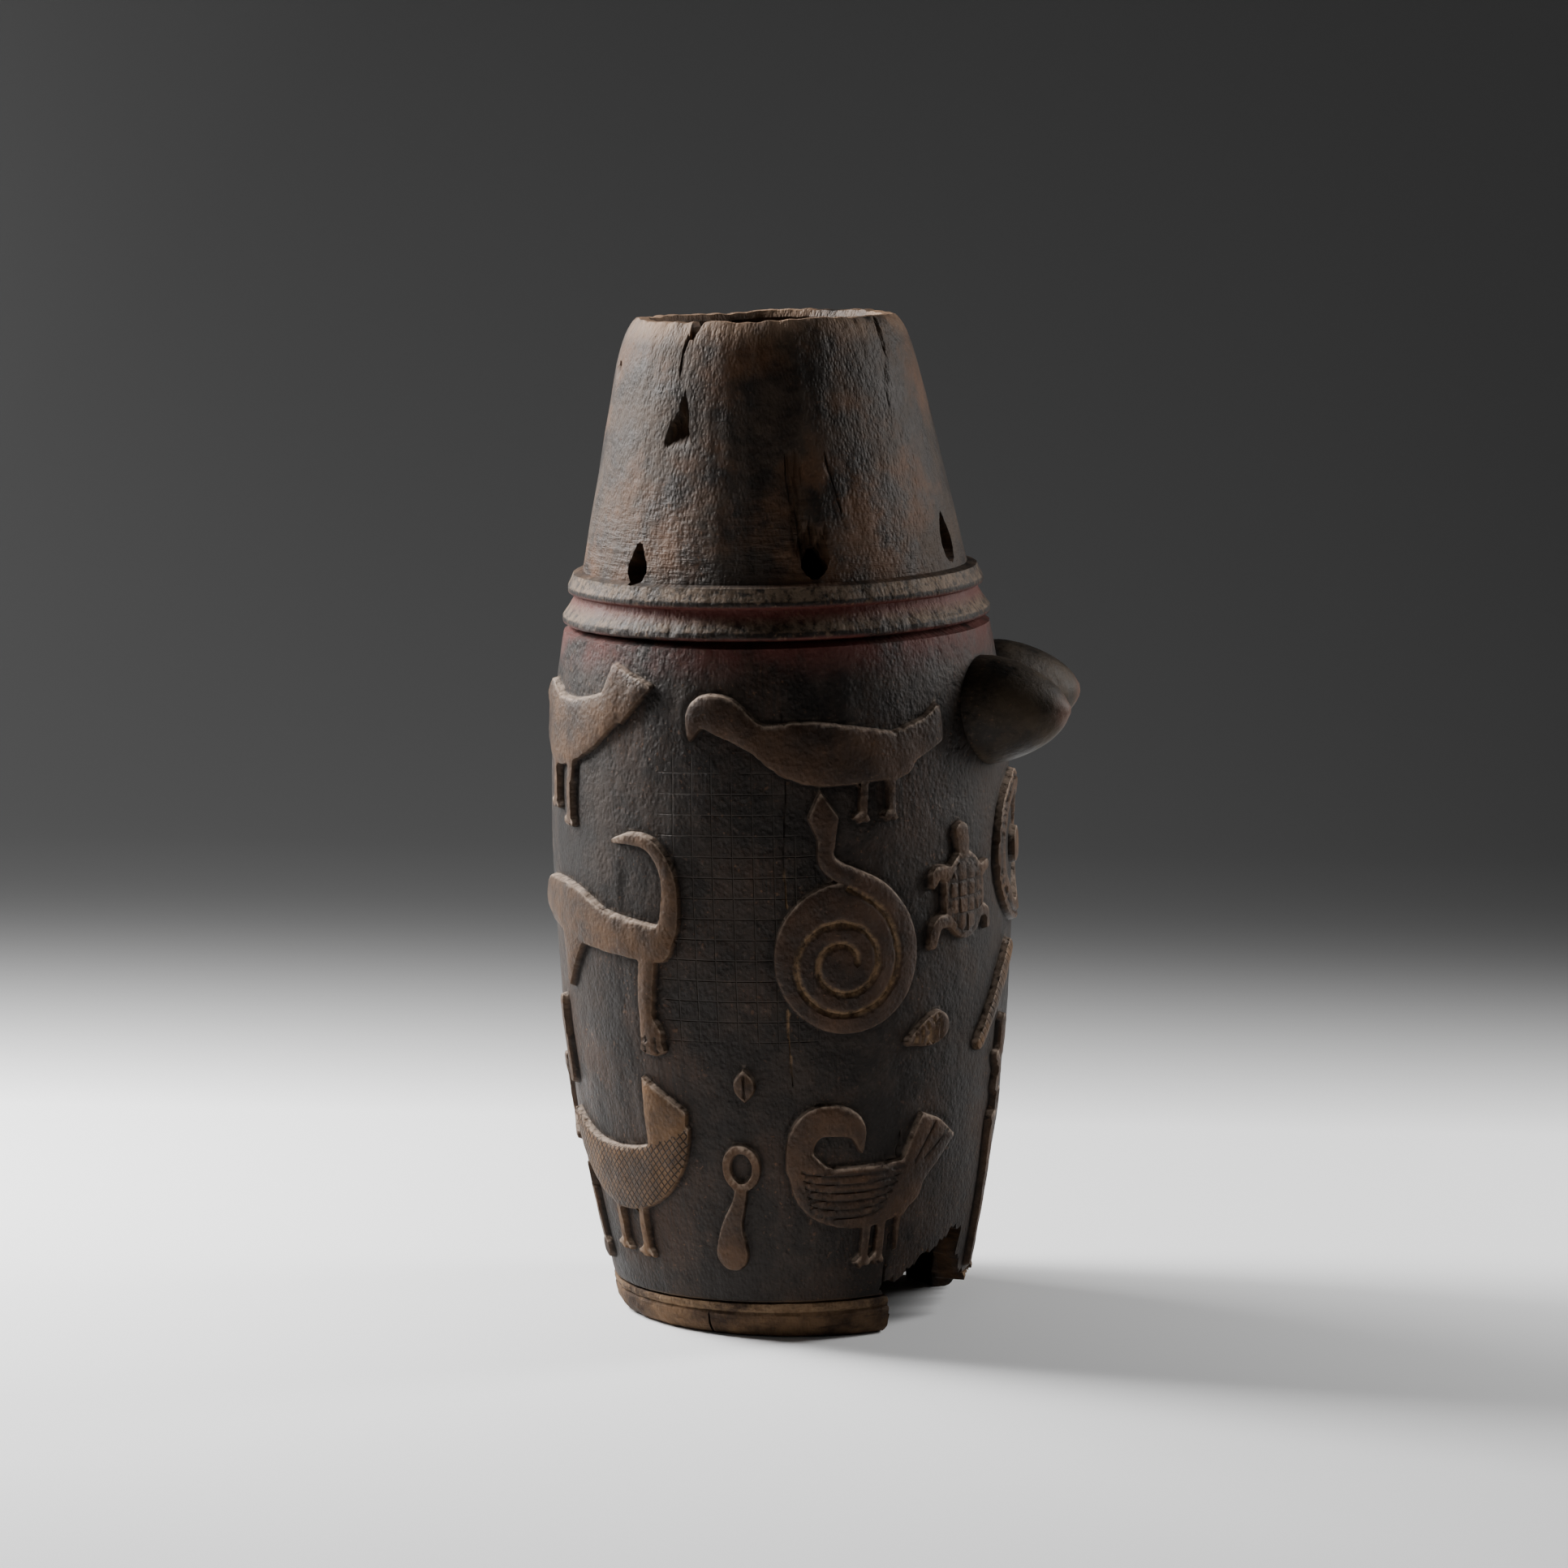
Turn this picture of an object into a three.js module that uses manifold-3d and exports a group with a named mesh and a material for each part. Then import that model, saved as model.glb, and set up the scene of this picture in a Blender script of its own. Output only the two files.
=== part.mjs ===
// A tall ceremonial drum carved from one log: an open, hollow body with a plain conical neck,
// two raised rings, a swelling belly covered with relief figures, a pair of breasts on the front
// and a narrow base ring whose front right part has broken away. The skin and its pegs are lost.
//
// Millimetres and degrees. +Z is up and +X is the drum's front. A place on the surface is an angle
// about the drum's axis, counted from the front towards +Y, and a height along the axis.

import * as THREE from 'three';
import { mergeVertices } from 'three/addons/utils/BufferGeometryUtils.js';
import Module from 'manifold-3d';

const wasm = await Module();
wasm.setup();

// Driving sizes of the body
const RIM_HEIGHT = 1152;
const RIM_RADIUS = 152;
const RIM_ROUNDING = 60;
const RIM_EDGE = 5;
const RIM_WEAR = 4;
const BACK_WEAR = 12;
const NECK_TOP_RADIUS = 175;
const NECK_FOOT_RADIUS = 221;
const UPPER_RING_TOP = 858;
const UPPER_RING_HEIGHT = 24;
const UPPER_RING_RADIUS = 238;
const LOWER_RING_TOP = 829;
const LOWER_RING_HEIGHT = 31;
const LOWER_RING_RADIUS = 245;
const GROOVE_RADIUS = 231;
const SHOULDER_HEIGHT = 792;
const SHOULDER_RADIUS = 244;
const BELLY_HEIGHT = 560;
const BELLY_RADIUS = 264;
const FOOT_RADIUS = 207;
const BASE_RING_HEIGHT = 42;
const BASE_RING_RADIUS = 202;
const BASE_RING_ROUNDING = 14;
const LEAN = 1.46;

// Driving sizes of the hollow
const RIM_WALL = 20;
const NECK_WALL = 25;
const BODY_WALL = 30;
const BASE_WALL = 28;

// Driving sizes of the carving
const RELIEF = 9;
const BREAST_HEIGHT = 700;
const BREAST_RADIUS = 62;
const BREAST_LENGTH = 99;
const NIPPLE_RADIUS = 10;
const BREAST_ANGLE = 17;
const BREAST_CURVE = 1.5;
const PEG_HOLE_WIDTH = 32;
const PEG_HOLE_TALLNESS = 52;
const PEG_HOLE_HEIGHT = 886;
const PEG_HOLE_SLANT = 18;
const PEG_HOLE_TAPER = 0.92;
const PEG_HOLE_ANGLES = [-129, -73, -18, 30, 100, 168];

// How finely the round forms are divided
const SIDES = 36;
const HOLLOW_SIDES = 24;
const HOLLOW_STEPS = 3;
const BELLY_STEPS = 5;
const SHOULDER_STEPS = 3;
const BREAST_SIDES = 12;
const BREAST_STEPS = 5;
const CAP_STEPS = 2;
const OVAL_STEPS = 12;
const COIL_STEPS = 9;
const LEAF_STEPS = 8;
const PEG_HOLE_SIDES = 8;

// Reach of the cutting and carving shapes past the faces they meet, and as shares of the radius
const OVERSHOOT = 20;
const DEEP_SHARE = 0.72;
const WIDE_SHARE = 1.5;

const { degToRad, lerp } = THREE.MathUtils;

// The belly falls away below and above its widest height by a power curve of its own.
const LOWER_CURVE = 2.15;
const UPPER_CURVE = 2.3;

function bodyRadius(height) {
  if (height < BELLY_HEIGHT) {
    const drop = (BELLY_HEIGHT - height) / (BELLY_HEIGHT - BASE_RING_HEIGHT);
    return BELLY_RADIUS - (BELLY_RADIUS - FOOT_RADIUS) * drop ** LOWER_CURVE;
  }
  const rise = (height - BELLY_HEIGHT) / (SHOULDER_HEIGHT - BELLY_HEIGHT);
  return BELLY_RADIUS - (BELLY_RADIUS - SHOULDER_RADIUS) * rise ** UPPER_CURVE;
}

// A raised ring slopes out from its upper edge to a low, upright crest. Each pair is the share of the
// ring's height, from below, and the share of the way out to its crest.
const RING_SECTION = [[0, 0.15], [0.18, 0.95], [0.48, 0.95], [1, 0.1]];

function ringProfile(top, height, edgeRadius, crestRadius) {
  return RING_SECTION.map(([up, out]) => [lerp(edgeRadius, crestRadius, out), top - height + up * height]);
}

function bodyProfile(offset) {
  const points = [];
  for (let step = 0; step <= BELLY_STEPS; step += 1) {
    const height = lerp(BASE_RING_HEIGHT, BELLY_HEIGHT, step / BELLY_STEPS);
    points.push([bodyRadius(height) + offset, height]);
  }
  for (let step = 1; step <= SHOULDER_STEPS; step += 1) {
    const height = lerp(BELLY_HEIGHT, SHOULDER_HEIGHT, step / SHOULDER_STEPS);
    points.push([bodyRadius(height) + offset, height]);
  }
  return points;
}

// The neck is a straight cone that bows in over its last stretch. Each pair is the share of that
// stretch's height and the share of its depth that is still left.
const NECK_TOP = RIM_HEIGHT - RIM_ROUNDING;
const RIM_SECTION = [[0.4, 0.68], [0.72, 0.35]];

function neckProfile() {
  return [
    [NECK_FOOT_RADIUS, UPPER_RING_TOP + 2],
    [(NECK_FOOT_RADIUS + NECK_TOP_RADIUS) / 2, (UPPER_RING_TOP + NECK_TOP) / 2],
    [NECK_TOP_RADIUS, NECK_TOP],
    ...RIM_SECTION.map(([up, left]) => (
      [lerp(RIM_RADIUS, NECK_TOP_RADIUS, left), NECK_TOP + up * RIM_ROUNDING]
    )),
    [RIM_RADIUS, RIM_HEIGHT - RIM_EDGE],
    [RIM_RADIUS - RIM_EDGE, RIM_HEIGHT],
  ];
}

const OUTER_PROFILE = [
  [BASE_RING_RADIUS - BASE_RING_ROUNDING, -OVERSHOOT],
  [BASE_RING_RADIUS - BASE_RING_ROUNDING, 0],
  [BASE_RING_RADIUS, BASE_RING_ROUNDING],
  [BASE_RING_RADIUS, BASE_RING_HEIGHT],
  ...bodyProfile(0),
  ...ringProfile(LOWER_RING_TOP, LOWER_RING_HEIGHT, GROOVE_RADIUS, LOWER_RING_RADIUS),
  ...ringProfile(UPPER_RING_TOP, UPPER_RING_HEIGHT, GROOVE_RADIUS, UPPER_RING_RADIUS),
  ...neckProfile(),
];

// Outer radius at any height, read along the outline above.
function outerRadius(height) {
  const last = OUTER_PROFILE.length - 1;
  if (height <= OUTER_PROFILE[0][1]) return OUTER_PROFILE[0][0];
  if (height >= OUTER_PROFILE[last][1]) return OUTER_PROFILE[last][0];
  const next = OUTER_PROFILE.findIndex(([, level]) => level > height);
  const [lowRadius, low] = OUTER_PROFILE[next - 1];
  const [highRadius, high] = OUTER_PROFILE[next];
  return lerp(lowRadius, highRadius, (height - low) / (high - low));
}

// The hollow runs through the drum at one wall's depth inside the outline.
function hollowProfile() {
  const points = [
    [BASE_RING_RADIUS - BASE_WALL, -2 * OVERSHOOT],
    [BASE_RING_RADIUS - BASE_WALL, BASE_RING_HEIGHT],
  ];
  const floor = BASE_RING_HEIGHT + BODY_WALL;
  for (let step = 0; step <= HOLLOW_STEPS; step += 1) {
    const height = lerp(floor, SHOULDER_HEIGHT, step / HOLLOW_STEPS);
    points.push([bodyRadius(height) - BODY_WALL, height]);
  }
  points.push([NECK_FOOT_RADIUS - NECK_WALL, UPPER_RING_TOP]);
  points.push([NECK_TOP_RADIUS - NECK_WALL, NECK_TOP]);
  points.push([RIM_RADIUS - RIM_WALL, RIM_HEIGHT - 2 * RIM_EDGE]);
  points.push([RIM_RADIUS - RIM_WALL, RIM_HEIGHT + OVERSHOOT]);
  return points;
}

function solidOf(geometry) {
  const bare = geometry.clone();
  bare.deleteAttribute('normal');
  bare.deleteAttribute('uv');
  const merged = mergeVertices(bare, 1e-4);
  return new wasm.Manifold(new wasm.Mesh({
    numProp: 3,
    vertProperties: new Float32Array(merged.attributes.position.array),
    triVerts: new Uint32Array(merged.index.array),
  }));
}

// A profile of [radius, height] pairs turned about the upright axis, closed on the axis at both ends.
function turned(profile, sides) {
  const points = [
    new THREE.Vector2(0, profile[0][1]),
    ...profile.map(([radius, height]) => new THREE.Vector2(radius, height)),
    new THREE.Vector2(0, profile[profile.length - 1][1]),
  ];
  return new THREE.LatheGeometry(points, sides).rotateX(Math.PI / 2);
}

// The rim is worn unevenly: two slow waves round the mouth lower its edge, and one side has worn most.
const RIM_WAVES = [{ count: 3, share: 0.3, turn: 1 }, { count: 7, share: 0.2, turn: 0 }];
const MOST_WORN_ANGLE = 96;

function rimWear(angle) {
  let wear = 0.5 * RIM_WEAR + (BACK_WEAR / 2) * (1 + Math.cos(angle - degToRad(MOST_WORN_ANGLE)));
  for (const { count, share, turn } of RIM_WAVES) wear += RIM_WEAR * share * Math.sin(count * angle + turn);
  return wear;
}

function wearRim(geometry) {
  const position = geometry.attributes.position;
  for (let index = 0; index < position.count; index += 1) {
    const height = position.getZ(index);
    const reach = Math.max(0, (height - NECK_TOP) / RIM_ROUNDING);
    const angle = Math.atan2(position.getY(index), position.getX(index));
    position.setZ(index, height - rimWear(angle) * reach);
  }
  return geometry;
}

// Flat outlines, drawn as seen from outside: x runs to the right along the girth, y runs up.
// A stroke is a path of [x, y, half width] with round ends.
function stroke(...path) {
  const last = path.length - 1;
  const directions = path.map((point, index) => {
    const before = path[Math.max(index - 1, 0)];
    const after = path[Math.min(index + 1, last)];
    return Math.atan2(after[1] - before[1], after[0] - before[0]);
  });
  const around = ([x, y, half], angle) => (
    new THREE.Vector2(x + half * Math.cos(angle), y + half * Math.sin(angle))
  );
  const points = [];
  for (let index = 0; index <= last; index += 1) {
    points.push(around(path[index], directions[index] - Math.PI / 2));
  }
  for (let step = 1; step < CAP_STEPS; step += 1) {
    points.push(around(path[last], directions[last] - Math.PI / 2 + (Math.PI * step) / CAP_STEPS));
  }
  for (let index = last; index >= 0; index -= 1) {
    points.push(around(path[index], directions[index] + Math.PI / 2));
  }
  for (let step = 1; step < CAP_STEPS; step += 1) {
    points.push(around(path[0], directions[0] + Math.PI / 2 + (Math.PI * step) / CAP_STEPS));
  }
  return new THREE.Shape(points);
}

// A leg that goes straight down and ends in a foot that points to one side.
function leg(x, top, bottom, half, toe) {
  return stroke([x, top, half], [x + 0.2 * toe, bottom, half], [x + toe, bottom - 3, 0.7 * half]);
}

function face(...corners) {
  return new THREE.Shape(corners.map(([x, y]) => new THREE.Vector2(x, y)));
}

function ovalPoints(x, y, across, up, from, to, steps) {
  const points = [];
  for (let step = 0; step < steps; step += 1) {
    const angle = degToRad(lerp(from, to, step / steps));
    points.push(new THREE.Vector2(x + across * Math.cos(angle), y + up * Math.sin(angle)));
  }
  return points;
}

function oval(x, y, across, up) {
  return new THREE.Shape(ovalPoints(x, y, across, up, 0, 360, OVAL_STEPS));
}

function ring(x, y, across, up, width) {
  const shape = oval(x, y, across, up);
  shape.holes.push(new THREE.Path(ovalPoints(x, y, across - width, up - width, 0, 360, OVAL_STEPS)));
  return shape;
}

// A pointed leaf: two bows that meet at its ends.
function leaf(x, y, halfWidth, halfLength) {
  const points = [];
  for (let step = 0; step < LEAF_STEPS; step += 1) {
    const angle = (2 * Math.PI * step) / LEAF_STEPS;
    const up = Math.cos(angle);
    const side = -Math.sign(Math.sin(angle)) * (1 - up * up);
    points.push(new THREE.Vector2(x + side * halfWidth, y + up * halfLength));
  }
  return new THREE.Shape(points);
}

// The lower part of an oval, closed by a hollowed back: a bird's body seen from the side.
function bowl(x, y, across, down, dip) {
  const rim = ovalPoints(x, y, across, down, 180, 360, OVAL_STEPS);
  const back = [];
  for (let step = 0; step < OVAL_STEPS / 2; step += 1) {
    const share = 1 - (4 * step) / OVAL_STEPS;
    back.push(new THREE.Vector2(x + share * across, y - dip * (1 - share * share)));
  }
  return new THREE.Shape([...rim, ...back]);
}

// A coil of a snake: a band that winds inwards, clockwise, from the right.
function coil(x, y, radius, pitch, width, turns) {
  const steps = Math.round(turns * COIL_STEPS);
  const edge = (step, side) => {
    const turn = step / COIL_STEPS;
    const angle = -2 * Math.PI * turn;
    const reach = radius - pitch * turn + side * width / 2;
    return new THREE.Vector2(x + reach * Math.cos(angle), y + reach * Math.sin(angle));
  };
  const points = [];
  for (let step = 0; step <= steps; step += 1) points.push(edge(step, 1));
  for (let step = steps; step >= 0; step -= 1) points.push(edge(step, -1));
  return new THREE.Shape(points.reverse());
}

// An outline wrapped round the drum as a wedge between two depths, either side of the surface.
function wedge(shape, angle, inside, outside) {
  const geometry = new THREE.ExtrudeGeometry(shape, { depth: 1, bevelEnabled: false, steps: 1 });
  const position = geometry.attributes.position;
  for (let index = 0; index < position.count; index += 1) {
    const height = position.getY(index);
    const around = degToRad(angle) + position.getX(index) / BELLY_RADIUS;
    const radius = position.getZ(index) > 0.5 ? outside(height) : inside(height);
    position.setXYZ(index, radius * Math.cos(around), radius * Math.sin(around), height);
  }
  return solidOf(geometry);
}

const wholeDepthIn = (height) => DEEP_SHARE * outerRadius(height);
const wholeDepthOut = (height) => WIDE_SHARE * outerRadius(height);

// The relief figures, each at its angle from the front. Heights are measured from the foot.
const FIGURES = [
  // Bird with a square tail
  {
    angle: -144,
    shapes: [
      face([43, 729], [62, 773], [125, 750], [80, 705]),
      stroke([70, 726, 18], [10, 698, 32], [-50, 690, 38], [-98, 726, 16], [-132, 712, 3]),
      leg(-50, 660, 609, 6, -16),
      leg(-10, 668, 592, 6, -16),
    ],
  },
  // Long bird
  {
    angle: -74,
    shapes: [
      stroke(
        [-148, 694, 3], [-136, 722, 16], [-108, 718, 22],
        [-70, 694, 17], [-10, 676, 35], [90, 668, 26],
      ),
      face([80, 692], [131, 707], [156, 723], [157, 679], [84, 645]),
      leg(49, 640, 606, 5, -13),
      leg(83, 645, 606, 5, -13),
    ],
  },
  // Beast with a curled tail
  {
    angle: -129,
    shapes: [
      stroke(
        [2, 574, 3], [28, 578, 7], [56, 572, 8], [75, 543, 9],
        [78, 512, 11], [73, 478, 13], [58, 458, 18],
      ),
      stroke(
        [58, 460, 21], [-20, 469, 24], [-80, 484, 31],
        [-145, 492, 26], [-200, 486, 12], [-222, 474, 5],
      ),
      face([-58, 456], [-112, 470], [-107, 390]),
      stroke([46, 452, 12], [40, 400, 11], [40, 372, 10], [44, 356, 16]),
      face([30, 354], [26, 336], [44, 330], [62, 336], [58, 354]),
    ],
  },
  // Coiled snake
  {
    angle: -70,
    shapes: [
      face([-20, 635], [-35, 604], [-19, 566], [-6, 566], [0, 604]),
      stroke(
        [-16, 574, 9], [-15, 556, 10], [-3, 543, 11], [18, 533, 11],
        [46, 516, 12], [68, 490, 12], [78, 462, 11], [77, 439, 10],
      ),
      coil(1, 439, 76, 24, 19.5, 2.7),
      stroke([-62, 450, 9], [-54, 484, 10], [-34, 508, 11], [-8, 521, 9]),
      oval(1, 438, 9, 9),
    ],
  },
  // Tortoise
  {
    angle: -36,
    shapes: [
      stroke([4, 573, 11], [6, 560, 10], [8, 540, 8]),
      oval(9, 500, 35, 50),
      stroke([-16, 526, 9], [-34, 530, 8], [-41, 517, 5]),
      stroke([-12, 474, 9], [-34, 472, 8], [-43, 448, 6]),
      stroke([32, 522, 9], [50, 530, 6]),
      stroke([34, 480, 9], [50, 476, 6], [53, 460, 5]),
    ],
  },
  // Shell
  {
    angle: -46,
    shapes: [stroke([-24, 343, 6], [0, 350, 13], [19, 356, 17])],
  },
  // Small leaf
  {
    angle: -95,
    shapes: [leaf(0, 301, 13, 19)],
  },
  // Ring on a stem
  {
    angle: -98,
    shapes: [
      ring(5, 205, 24, 28, 11),
      stroke([3, 178, 8], [-2, 160, 9], [-12, 134, 14], [-15, 104, 22]),
    ],
  },
  // Bird with a deep body
  {
    angle: -130,
    shapes: [
      bowl(-28, 250, 117, 107, 32),
      face([28, 306], [88, 268], [82, 225], [28, 220]),
      leg(-48, 148, 102, 6, -20),
      leg(-1, 152, 98, 6, -18),
    ],
  },
  // Bird looking back
  {
    angle: -67,
    shapes: [
      stroke([11, 221, 3], [4, 246, 12], [-18, 257, 18], [-46, 256, 18], [-63, 236, 17], [-66, 205, 17]),
      stroke([-64, 212, 17], [-44, 178, 30], [-10, 167, 36], [35, 167, 36], [70, 176, 30]),
      face([62, 196], [92, 257], [121, 246], [149, 224], [94, 196]),
      face([60, 203], [120, 197], [98, 172], [71, 142], [40, 140]),
      leg(22, 138, 92, 6, -15),
      leg(43, 138, 95, 6, -14),
    ],
  },
  // Round frame
  {
    angle: 0,
    shapes: [ring(0, 535, 87, 87, 25), oval(0, 535, 22, 22)],
  },
  // Worn slanting band
  {
    angle: -16,
    shapes: [stroke([34, 420, 12], [4, 386, 11], [-46, 323, 8])],
  },
  // Notched band
  {
    angle: -13,
    shapes: [
      stroke([8, 338, 9], [6, 302, 8]),
      stroke([-8, 300, 6], [2, 284, 7], [-4, 262, 6]),
      stroke([6, 255, 8], [2, 228, 8]),
    ],
  },
  // Long upright band
  {
    angle: -14,
    shapes: [stroke([2, 226, 7], [2, 58, 7])],
  },
  // Left upright band
  {
    angle: -160,
    shapes: [
      stroke([0, 372, 8], [2, 282, 7]),
      stroke([8, 180, 5], [10, 96, 5]),
      oval(10, 82, 11, 13),
    ],
  },
  // Crocodile
  {
    angle: 150,
    shapes: [
      stroke([-150, 470, 4], [-90, 462, 14], [-30, 460, 30], [40, 462, 31], [90, 464, 20], [150, 468, 8]),
      stroke([-34, 406, 8], [0, 462, 14], [-34, 518, 8]),
      stroke([74, 406, 8], [44, 462, 14], [74, 518, 8]),
    ],
  },
  // Bird on the far side
  {
    angle: 148,
    shapes: [
      stroke([-120, 714, 3], [-88, 726, 16], [-50, 700, 18], [0, 682, 33], [46, 680, 24]),
      face([36, 700], [98, 726], [104, 690], [44, 660]),
      leg(-6, 654, 610, 6, -14),
      leg(26, 660, 612, 6, -14),
    ],
  },
  // Fish on the far side
  {
    angle: 96,
    shapes: [
      stroke([-84, 690, 10], [-46, 690, 24], [8, 690, 26], [54, 690, 10]),
      face([46, 692], [92, 722], [84, 690], [92, 658]),
    ],
  },
  // Coil on the far side
  {
    angle: 88,
    shapes: [coil(0, 470, 66, 34, 20, 1.4)],
  },
  // Beast on the far side
  {
    angle: 112,
    shapes: [
      stroke(
        [-84, 304, 5], [-104, 280, 8], [-80, 238, 22], [-10, 226, 26],
        [56, 232, 24], [94, 250, 14], [114, 238, 5],
      ),
      leg(-66, 220, 152, 9, 16),
      leg(44, 214, 152, 9, 16),
    ],
  },
  // Leaf on the far side
  {
    angle: 52,
    shapes: [leaf(0, 270, 34, 58), stroke([0, 214, 5], [0, 160, 5])],
  },
  // Tortoise on the far side
  {
    angle: 176,
    shapes: [
      oval(0, 250, 40, 50),
      oval(0, 316, 13, 17),
      stroke([-54, 296, 7], [0, 262, 12], [54, 296, 7]),
      stroke([-54, 204, 7], [0, 238, 12], [54, 204, 7]),
    ],
  },
];

function carving() {
  let carved = null;
  for (const figure of FIGURES) {
    for (const shape of figure.shapes) {
      const part = wedge(shape, figure.angle, wholeDepthIn, wholeDepthOut);
      carved = carved ? carved.add(part) : part;
    }
  }
  const skin = solidOf(turned(bodyProfile(RELIEF), SIDES));
  return carved.intersect(skin);
}

// A breast is a long rounded cone with a blunt tip, turned about a level axis.
function breast(angle) {
  const root = bodyRadius(BREAST_HEIGHT);
  const profile = [[BREAST_RADIUS, -BODY_WALL / 2]];
  for (let step = 0; step < BREAST_STEPS; step += 1) {
    const share = step / BREAST_STEPS;
    profile.push([BREAST_RADIUS * Math.sqrt(1 - share ** BREAST_CURVE), share * BREAST_LENGTH]);
  }
  profile.push([NIPPLE_RADIUS, BREAST_LENGTH]);
  const geometry = turned(profile, BREAST_SIDES);
  geometry.translate(0, 0, root);
  geometry.rotateY(Math.PI / 2);
  geometry.rotateZ(degToRad(angle));
  geometry.translate(0, 0, BREAST_HEIGHT);
  return solidOf(geometry);
}

// A peg hole is taller than wide and slants down through the neck's foot towards the hollow.
function pegHole(angle) {
  const length = 6 * NECK_WALL;
  const geometry = new THREE.CylinderGeometry(0.5, PEG_HOLE_TAPER / 2, length, PEG_HOLE_SIDES);
  geometry.rotateY(Math.PI / PEG_HOLE_SIDES);
  geometry.scale(PEG_HOLE_TALLNESS * Math.cos(degToRad(PEG_HOLE_SLANT)), 1, PEG_HOLE_WIDTH);
  geometry.rotateZ(-degToRad(90 - PEG_HOLE_SLANT));
  geometry.rotateX(Math.PI / 2);
  geometry.translate(outerRadius(PEG_HOLE_HEIGHT), 0, PEG_HOLE_HEIGHT);
  geometry.rotateZ(degToRad(angle));
  return solidOf(geometry);
}

// A damaged place: an outline of [angle, height] corners cut to a depth below the surface.
function damage(corners, depth) {
  const middle = corners.reduce((sum, [angle]) => sum + angle, 0) / corners.length;
  const shape = new THREE.Shape(corners.map(([angle, height]) => (
    new THREE.Vector2(degToRad(angle - middle) * BELLY_RADIUS, height)
  )));
  if (THREE.ShapeUtils.isClockWise(shape.getPoints())) {
    throw new Error('corners run anticlockwise as seen from outside');
  }
  const inside = depth > 0 ? (height) => outerRadius(height) - depth : wholeDepthIn;
  return wedge(shape, middle, inside, wholeDepthOut);
}

// The base has lost its front right part, up into the foot of the wall.
const BREAK_IN_BASE = [
  [-54, -60], [28, -60], [26, 10], [18, 24], [8, 36], [-4, 43], [-12, 38], [-18, 48],
  [-23, 79], [-22, 103], [-29, 107], [-35, 90], [-43, 81], [-49, 61], [-56, 55], [-52, 31],
];
const GAP_AT_BACK = [[44, -60], [53, -60], [52, 22], [47, 28]];
const NOTCH_IN_RING = [[-112.6, -60], [-111.2, -60], [-111.4, 26], [-112, 30]];

// Rotted and chipped places on the neck, cut to a depth.
const NECK_DAMAGE = [
  {
    depth: 14,
    corners: [[-43, 1006], [-41, 1006], [-32, 1075], [-25, 1112], [-15, 1200], [-26, 1200], [-36, 1080]],
  },
  { depth: 13, corners: [[-123.4, 1014], [-112, 1015], [-114.6, 1073]] },
  { depth: 12, corners: [[-77, 896], [-67, 896], [-67.5, 925], [-72, 934], [-76.5, 918]] },
  { depth: 5, corners: [[-79.4, 900], [-73.2, 900], [-73.2, 1008], [-79.4, 1008]] },
  { depth: 9, corners: [[-164, 1084], [-156, 1086], [-157, 1098], [-163, 1100]] },
  { depth: 40, corners: [[-128.5, 1140], [-126, 1140], [-123, 1200], [-131, 1200]] },
];

function drumSolid() {
  let drum = solidOf(wearRim(turned(OUTER_PROFILE, SIDES)));
  drum = drum.add(carving());
  for (const side of [-1, 1]) drum = drum.add(breast(side * BREAST_ANGLE));
  drum = drum.subtract(solidOf(turned(hollowProfile(), HOLLOW_SIDES)));
  for (const angle of PEG_HOLE_ANGLES) drum = drum.subtract(pegHole(angle));
  for (const corners of [BREAK_IN_BASE, GAP_AT_BACK, NOTCH_IN_RING]) {
    drum = drum.subtract(damage(corners, 0));
  }
  for (const { corners, depth } of NECK_DAMAGE) drum = drum.subtract(damage(corners, depth));
  return drum;
}

// The drum leans a little towards its back, and its foot is cut level.
function levelFoot(solid) {
  const ground = new THREE.BoxGeometry(4 * BELLY_RADIUS, 4 * BELLY_RADIUS, 4 * OVERSHOOT);
  ground.translate(0, 0, -2 * OVERSHOOT);
  ground.rotateY(degToRad(LEAN));
  return solid.subtract(solidOf(ground));
}

function geometryOf(solid) {
  const mesh = solid.getMesh();
  const geometry = new THREE.BufferGeometry();
  geometry.setAttribute('position', new THREE.BufferAttribute(new Float32Array(mesh.vertProperties), 3));
  geometry.setIndex(new THREE.BufferAttribute(new Uint32Array(mesh.triVerts), 1));
  geometry.computeVertexNormals();
  return geometry;
}

const drumGeometry = geometryOf(levelFoot(drumSolid()));
drumGeometry.rotateY(-degToRad(LEAN));

// The origin is the middle of the underside of the drum's box.
drumGeometry.computeBoundingBox();
const box = drumGeometry.boundingBox;
drumGeometry.translate(-(box.min.x + box.max.x) / 2, -(box.min.y + box.max.y) / 2, -box.min.z);

const wood = new THREE.MeshStandardMaterial({ color: 0x3b322b, roughness: 0.62, metalness: 0 });
const drumBody = new THREE.Mesh(drumGeometry, wood);
drumBody.name = 'drum_body';

const drum = new THREE.Group();
drum.add(drumBody);

export default drum;
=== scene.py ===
"""A tall ceremonial drum carved from one log, on a pale floor, seen at the photograph's angle.

Shapes are worked out in millimetres on the drum's own surface: x runs round the girth, to the right
as seen from outside, and y runs up from the foot. They become metres when a mesh is made.
"""

import math

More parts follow.
